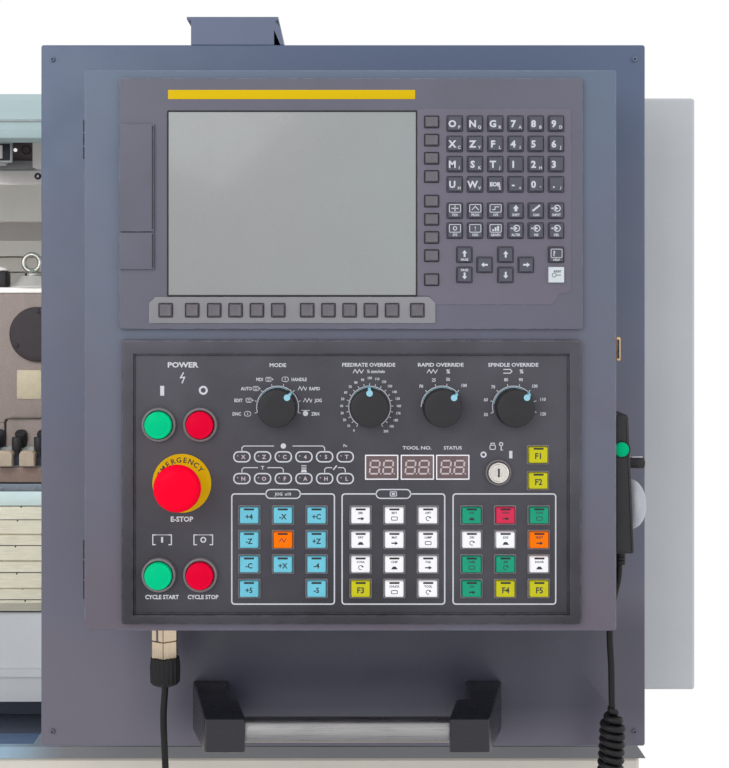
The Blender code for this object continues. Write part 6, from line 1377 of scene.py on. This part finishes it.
def make_turret_front():
    """Turret housing with its cap and pad, round cover, foot, clamp blocks, rods and lifting eye."""
    face = 740.0
    cover = (-451.2, face, 1270)
    body = Piece("turret_housing_body", "turret_slide", TAUPE, CAP_GLOW_PALE, HOLLOW, BLACK, SIGN, STEEL, CAP_PAD,
                 COVER_DARK, into=machine, slot="taupe", replaces=("turret_housing",), sharp=30)
    side = polygon([(-1133.4, 740), (-1243.0, 929.8), (-1330, 929.8), (-1330, 740)])
    body.plate(side, [(5.0, -530), (1.4, -528.6), (0, -525), (0, -375), (1.4, -371.4), (5.0, -370)], axis="x")
    body.box((-529.7, 733.8, 1330.4), (-368, 929.9, 1338.4), 1.6, 1)
    body.turned([(38, 0), (38, 2.4), (36, 4.4), (30, 8.6), (25, 14.6), (22, 17.2), (14, 18)],
                (-459, 764, 1338.2), "z", 48, 6)
    body.box((-530, 742, 1338.2), (-499, 772, 1364), 5, 3)
    body.turned([(13, 0), (13, 3), (11, 5), (6, 5.6)], (-513, 757, 1363.6), "z", 28, 1)
    body.prism([(715, 1114.6), (741, 1129.6), (741, 1141), (719, 1141), (715, 1137)], -530, -489.4)
    body.prism([(705.4, 1109), (741, 1129.6), (741, 1148.6), (709, 1148.6), (705.4, 1145)], -488.4, -372)
    rod = np.array([(-489.6, 704.6, 1109), (-489.6, 704.6, 1143.6), (-488.9, 704.6, 1146.8),
                    (-487.2, 704.6, 1148.4), (-484, 704.6, 1149.2), (-374, 704.6, 1149.2)])
    body.tube(rod[:4], (0, 1, 0), 1.6, 8, 3)
    body.tube(rod[3:], (0, 1, 0), 0.7, 8, 3)
    body.box((-530, 711, 1109.6), (-489.6, 715.4, 1113.0), 0.8, 3)
    body.turned([(39.8, 0), (39.8, 9.0), (39.0, 10.6), (37.4, 11.2), (30.0, 11.4)], cover, "down", 72, 7)
    body.turned([(41.2, -0.4), (41.2, 2.2), (39.8, 2.6)], cover, "down", 72, 0)
    for x, z in ((-448.3, 1303.4), (-479.6, 1253.8), (-422.4, 1252.6)):
        body.turned([(3.4, 10.8), (3.4, 12.4), (2.6, 13.2), (1.2, 13.3)], (x, face, z), "down", 14, 3)
    body.box((-482, face - 1.5, 1174.5), (-446, face + 0.6, 1217), 0.8, 4)
    for x in (-479.5, -448.5):
        for z in (1177.0, 1214.5):
            body.turned([(1.1, 1.4), (1.1, 1.9)], (x, face, z), "down", 8, 5)
    body.done()
    slide = Piece("cross_slide_front", "turret_slide", SLOPE_BLUE, GUARD_BLUE, SLIDE_BROWN, BLOCK_CREAM,
                  HOLLOW, BLACK, STEEL, into=slope, slot="cast", sharp=30)
    left, right = -524.5, -375.5
    for low, high, proud, tint in ((118.2, 144.0, 2.2, 0), (145.6, 157.8, 2.2, 1), (161.6, 187.0, 2.2, 2)):
        slide.box((left, 208 - proud, low), (right, 208.4, high), 0.7, tint)
    slide.box((left, 206.8, 144.0), (right, 208.4, 161.8), 0.2, 4)
    for x in np.arange(-518, -376, 24.0):
        slide.turned([(2.2, 1.6), (2.2, 3.4), (1.6, 3.8), (0.8, 3.9)], (x, 208, 151.6), "down", 10, 1)
    for number in range(4):
        slide.turned([(8.4, 200), (8.4, 221), (7.6, 222.6), (4.6, 222.8), (4.4, 222.2), (1, 222.2)],
                     (SLIDE_X + (number - 1.5) * BOLT_PITCH, 243.2, 0), "z", 28, 5)
    slide.done()
    clamp = Piece("clamp_blocks_and_bolts", "turret_slide", BLOCK_CREAM, BLACK, HOLLOW, STEEL, into=machine,
                  slot="cream", sharp=30)
    clamp.prism([(683, 1084.4), (693, 1084.4), (693, 1101.4), (683, 1096)], -526, -374, 2)
    for x in (-524.5, -492.8, -461.1, -429.4, -397.7):
        block = polygon([(x, 1084.2), (x + 21.8, 1084.2), (x + 21.8, 1102.2), (x + 18.4, 1106.2),
                         (x + 3.4, 1106.2), (x, 1102.2)])
        clamp.plate(block, [(1.2, -18), (0.0, -17), (0.0, -2), (0.4, -0.8), (1.4, 0)], (0, 671.6, 0), "down")
    for x in (-500.9, -469.2, -437.5, -405.8):
        clamp.turned([(4.2, -20), (4.2, 0), (6.4, 0.2), (6.8, 1.0), (6.8, 17.4), (6.2, 18.6), (4.4, 18.8),
                      (4.0, 14.0), (1, 14.0)], (x, 690.5, 1105.4), "z", 24, 1)
    clamp.done()
    eye = Piece("lifting_eye", "turret_slide", CHROME, into=machine, slot="steel", replaces=("eye_bolt",))
    t = np.linspace(0, 2 * math.pi, 49)[:-1, None]
    s = np.linspace(0, 2 * math.pi, 17)[:-1]
    reach = 12.2 + 3.4 * np.cos(s)
    ring = np.stack([reach * np.cos(t), 3.4 * np.sin(s) + 0 * t, reach * np.sin(t)], -1)
    faces = strip_faces(48, 16)
    wrap = strip_faces(2, 16)
    wrap[:, :2] += 47 * 16
    wrap[:, 2:] -= 16
    eye.add(ring.reshape(-1, 3) + (-465.4, 760, 1375.6), np.concatenate([faces, wrap])[:, ::-1])
    eye.turned([(12.0, -2.0), (12.4, 2.0), (10.6, 3.4), (6.4, 4.0), (5.2, 6.0), (4.6, 8.0)],
               (-463.6, 760, 1357), "z", 32)
    eye.done()


def make_slats():
    """Telescopic way cover: each slat is two folds with a proud front lip, dark strips of painted shade under
    the lips and a small notch shown as painted shade.
    """
    folds = {"cover_slat_3": (146.6, 117.9, (-470, -468.4)),
             "cover_slat_2": (95.4, 114.9, (-466.6, -459.8)),
             "cover_slat_1": (44.2, 111.9, (-451.6, -446.4)),
             None: (-6.8, 109.25, (-432.4, -424.0))}
    for number, (node, (start, top, marks)) in enumerate(folds.items()):
        half = (71.0, 68.0, 65.0, 62.0)[number]
        edges = (start, start + 30.4, start + 60.8) if node else (start, 25.0, 48.0)
        name = node + "_folds" if node else "root_slat_folds"
        slat = Piece(name, ("turret_slide", "slat_2", "slat_1", "saddle_slide")[number], SLAT_CREAM, HOLLOW,
                     into=slope, slot="cream", replaces=(node,) if node else (), sharp=25)
        deep = 2.4 if node else 0.45
        for fold in (0, 1):
            low, high = edges[fold], edges[fold + 1]
            drop = min(0.9, deep * 0.6)
            slat.prism([(low, top - deep), (high + 0.2, top - deep), (high + 0.2, top - drop),
                        (low + 1.0, top), (low + 0.3, top - 0.15), (low, top - 0.5 * drop)],
                       SLIDE_X - half, SLIDE_X + half)
            # Painted shade: dark strip on the step under the lip.
            slat.prism([(high - 1.6, top - deep), (high + 0.1, top - deep), (high + 0.1, top - drop + 0.12),
                        (high - 1.6, top - drop + 0.17)], SLIDE_X + 0.4 - half, SLIDE_X - 0.4 + half, 1)
            # The small notch is a short dark block: painted shade.
            x = marks[1 - fold]
            slat.prism([(high - 4.6, top - deep), (high + 0.1, top - deep), (high + 0.1, top - drop + 0.16),
                        (high - 4.6, top - drop + 0.34)], x - 1.0, x + 1.0, 1)
        if node:
            for x in (SLIDE_X - half, SLIDE_X + half - 2.2):
                slat.box((x, start, top - 14.2), (x + 2.2, start + 60.8, top - 2.0), 0.5)
        slat.done()


def lid(piece, middle, size, axis, tint=0):
    """Screwed sheet-metal lid: dark joint, raised sheet with a rolled edge, cap screws near its corners."""
    proud, corner, reach = 1.6, 10.0, 22.0
    piece.plate(rounded(size[0] + 3.6, size[1] + 3.6, corner + 1.8), [(0, -1.0), (0, 0.25)], middle, axis, 1)
    piece.plate(rounded(size[0], size[1], corner), soft_edge(-1.0, proud, 1.2), middle, axis, tint)
    a, b = size[0] / 2 - reach, size[1] / 2 - reach
    rows = (-b, 0, b) if size[1] > 400 else (-b, b)
    spots = np.array([(u, v, proud) for u in (-a, a) for v in rows]) @ AXES[axis].T
    screw_heads(piece, spots + middle, 5.6, 2, axis)


def louvres(piece, middle, size, count, axis):
    """Vent: dark mouth in a rolled frame with sloping blades, each a wedge pushed along."""
    piece.plate(rounded(size[0], size[1], 6), [(0, -1.0), (0, 1.3)], middle, axis, 1)
    frame_rows = [(-5, -1.0), (-5, 2.6), (-4, 3.6), (-1.4, 3.6), (0, 2.6), (0, -1.0)]
    piece.plate(rounded(size[0], size[1], 6), frame_rows, middle, axis, 0, True)
    pitch = size[1] / count
    spin = -1 if axis == "up" else 1
    for number in range(count):
        low = -size[1] / 2 + (number + 0.18) * pitch
        wedge = np.array([(-size[0] / 2, low, 1.0), (size[0] / 2, low, 1.0), (size[0] / 2, low, 3.4),
                          (-size[0] / 2, low, 3.4), (-size[0] / 2, low + pitch * 0.6, 1.0),
                          (size[0] / 2, low + pitch * 0.6, 1.0)])
        faces = [[0, 1, 2, 3], [0, 4, 5, 1], [3, 2, 5, 4], [0, 3, 4], [1, 5, 2]]
        piece.add(wedge * (spin, spin, 1) @ AXES[axis].T + middle, faces)


DOOR_FACE = 1212.3


def make_covers():
    """Service lids, vents, hinges, main switch, roof lids and window gasket of the enclosure."""
    covers = Piece("service_lids", "machine", SHELL, SEAL, STEEL, BASE_CREAM, HOOD, into=machine,
                   slot="shell", sharp=30)
    lid(covers, (-1500, 640, 1200), (540, 600), "left")
    lid(covers, (300, 690, 1200), (540, 500), "x")
    lid(covers, (-1275, 1000, 1200), (360, 540), "up")
    lid(covers, (-1232, 258, 1200), (430, 540), "down")
    for x, axis in ((-1500, "left"), (300, "x")):
        lid(covers, (x, 620, 470), (500, 620), axis, 3)
    lid(covers, (-1275, 1000, 470), (360, 500), "up", 3)
    for x in (-1050, -150):
        lid(covers, (x, 190, 470), (800, 540), "down", 3)
    for x, wide in ((-1080, 640), (-240, 760)):
        lid(covers, (x, 680, 1543), (wide, 500), "z", 4)
    louvres(covers, (-1501.6, 640, 1080), (300, 160), 10, "side")
    louvres(covers, (-1275, 1001.6, 1060), (240, 140), 8, "up")
    covers.done()
    leaf = Piece("cabinet_door_fittings", "cabinet_leaf", SHELL, SEAL, STEEL, STOP_YELLOW, STOP_GLOW_RED, BLACK,
                 into=machine, slot="shell", sharp=30)
    for z in (1330, 470):
        louvres(leaf, (-450, DOOR_FACE, z), (300, 170), 10, "up")
    for z in (440, 900, 1360):
        leaf.turned([(6.0, -40), (7.6, -38), (7.6, -1.0), (6.4, -0.6), (6.4, 0.6), (7.6, 1.0), (7.6, 38),
                     (6.0, 40)], (144, 1213, z), "z", 20, 2)
        leaf.box((106, 1211.6, z - 34), (144, 1214.8, z + 34), 1.0, 2)
    switch = (-930, DOOR_FACE, 1370)
    leaf.plate(rounded(70, 70, 6), [(0, -1), *soft_edge(0, 3.0, 1.0)], switch, "up", 3)
    leaf.turned([(24, 2.6), (24, 6.0), (22, 8.0), (12, 8.6)], switch, "up", 40, 5)
    leaf.plate(rounded(14, 50, 4), [(0, 7.0), *soft_edge(8.0, 20.0, 2.4)], switch, "up", 4)
    leaf.done()
    gasket = Piece("door_window_gasket", "sliding_door", SEAL, STEEL, into=machine, slot="dark", sharp=30)
    gasket.plate(rounded(377, 367, 12), [(0, 0.0), (0, 3.4), (1.6, 5.0), (7.0, 5.0), (8.6, 3.4), (8.6, 0.0)],
                 (-12.5, 227, 1261.5), "down", 0, True)
    gasket.done()


def make_mounting_plate(name, body, into):
    """Mounting plate with wiring ducts, terminal rows, breakers, a supply and a drive."""
    board = Piece(name, body, STEEL, DUCT_GREY, TERMINAL, BLACK, STRIP_GREY, into=into, slot="steel",
                  sharp=30)
    board.plate(rounded(404, 434, 5), [(0.4, -83.6), (0, -83.2), (0, -82.0), (0.4, -81.6)])
    for y in (196.0, 52.0, -84.0, -196.0):
        board.box((-158, y - 11, -82), (158, y + 11, -58), 0.8, 1)
        board.box((-158.4, y - 11.4, -58.6), (158.4, y + 11.4, -56.4), 0.6, 1)
        slots = np.array([(x, y + side, -70.0) for x in np.arange(-150, 151, 12.0) for side in (-10.8, 10.8)])
        board.plate(rounded(4.0, 0.8, 0.2, 1), [(0, -7), (0, 7)], tint=3, spots=slots)
    for x in (-181.0, 181.0):
        board.box((x - 11, -207, -82), (x + 11, 207, -58), 0.8, 1)
        board.box((x - 11.4, -207.4, -58.6), (x + 11.4, 207.4, -56.4), 0.6, 1)
    for y, count, wide, first in ((124.0, 5, 17.6, -150.0), (-16.0, 38, 6.2, -120.0),
                                  (-140.0, 30, 8.2, -124.0)):
        board.box((-154, y - 17.5, -82), (154, y + 17.5, -76), 0.8)
        tall, deep = (39.0, -46.0) if count == 5 else (24.0, -52.0)
        spots = np.array([(first + number * wide, y, 0.0) for number in range(count)])
        board.plate(rounded(wide - 0.5, tall * 2, 0.8, 1), soft_edge(-77, deep, 1.0, steps=2),
                    tint=4 if count == 5 else 2, spots=spots)
        for side in (-1, 1):
            board.turned([(1.9, deep - 0.4), (1.9, deep + 0.2), (1.3, deep + 0.4)], steps=8, tint=0,
                         spots=spots + (0, side * (tall - 5), 0))
            board.turned([(2.4, deep - 3), (2.4, deep + 0.1)], steps=8, tint=3,
                         spots=spots + (0, side * (tall - 11), 0))
    board.box((-48, 80, -80), (40, 170, -42), 1.6, 4)
    board.box((54, 80, -80), (152, 170, -48), 1.6, 3)
    board.plate(rounded(60, 2.4, 0.6, 1), [(0, -43), (0, -41.8)], tint=3,
                spots=np.array([(-4.0, y, 0.0) for y in np.arange(96, 160, 7.0)]))
    board.done()


def make_front_back():
    """Sheet covers on the back of the console's hinged front."""
    back = Piece("console_front_back_covers", "console_front", STEEL, BLACK, STRIP_GREY, into=console,
                 slot="steel", sharp=30)
    back.box((-170, 36, -38), (70, 214, -21.4), 2.0)
    back.box((84, 44, -34), (190, 208, -21.4), 1.6, 2)
    back.box((-190, -222, -33), (190, -24, -21.4), 1.6)
    for low, high, x, near, far in ((60, 196, -50, -40, -37), (-206, -44, 0, -35, -32.4)):
        for y in (low + 8, high - 16):
            back.box((x - 78, y, near), (x + 78, y + 8, far), 0.8, 1)
    back.done()


def dress(finish, *nodes):
    """Gives CAD nodes a finish in all their slots, bolts and feet excepted."""
    for node in nodes:
        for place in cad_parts[node].material_slots:
            place.material = BLACK if place.material.name.startswith("black") else finish


def dress_machine():
    """Finishes of the CAD nodes that stay visible."""
    dress(BASE_CREAM, "base_frame")
    dress(TRAY_SHADOWED_BLUE, "drip_tray")
    dress(SHELL, "left_cover", "right_cover", "apron", "electrical_cabinet", "cabinet_door", "door_panel")
    dress(HOOD, "roof_hood")
    dress(INNER, "rear_wall")
    dress(CAST, "slant_bed", "headstock", "saddle", "cross_slide")
    dress(STEEL, "chuck", "chuck_jaw_1", "chuck_jaw_2", "chuck_jaw_3", "turret_disc", "console_rail_upper",
          "console_rail_lower")
    dress(CONSOLE_REFLECTION_GREY, "console_box")
    dress(TRUNK_GREY, "cable_trunk")
    dress(window_finish(), "door_window")


def window_finish():
    """Tinted safety glass with wipe marks."""
    f = Finish("door_window_glass", 0.06, specular_ior_level=0.5)
    f.shader.inputs["Transmission Weight"].default_value = 0.85
    f.shader.inputs["IOR"].default_value = 1.48
    f.feed(base_color=f.blend(f.spread(f.noise(90, 4), 0.4, 0.7), tone(196, 210, 210), tone(176, 196, 196)),
           roughness=f.spread(f.noise(30, 5, (1, 1, 0.3)), 0.5, 0.8, 0.03, 0.14))
    return f.material


make_camera()
make_light()
make_floor()
make_cord()
make_console_front()
make_screen_unit()
make_operator_panel()
make_panel_print()
make_controls()
make_screen()
make_handle()
make_pendant()
make_console_trim()
make_lamp()
make_hood_strips_shadow_and_mats()
make_turret_front()
make_slats()
make_covers()
make_mounting_plate("console_mounting_plate", "console", console)
make_mounting_plate("cabinet_mounting_plate", "machine", cabinet)
make_front_back()
dress_machine()
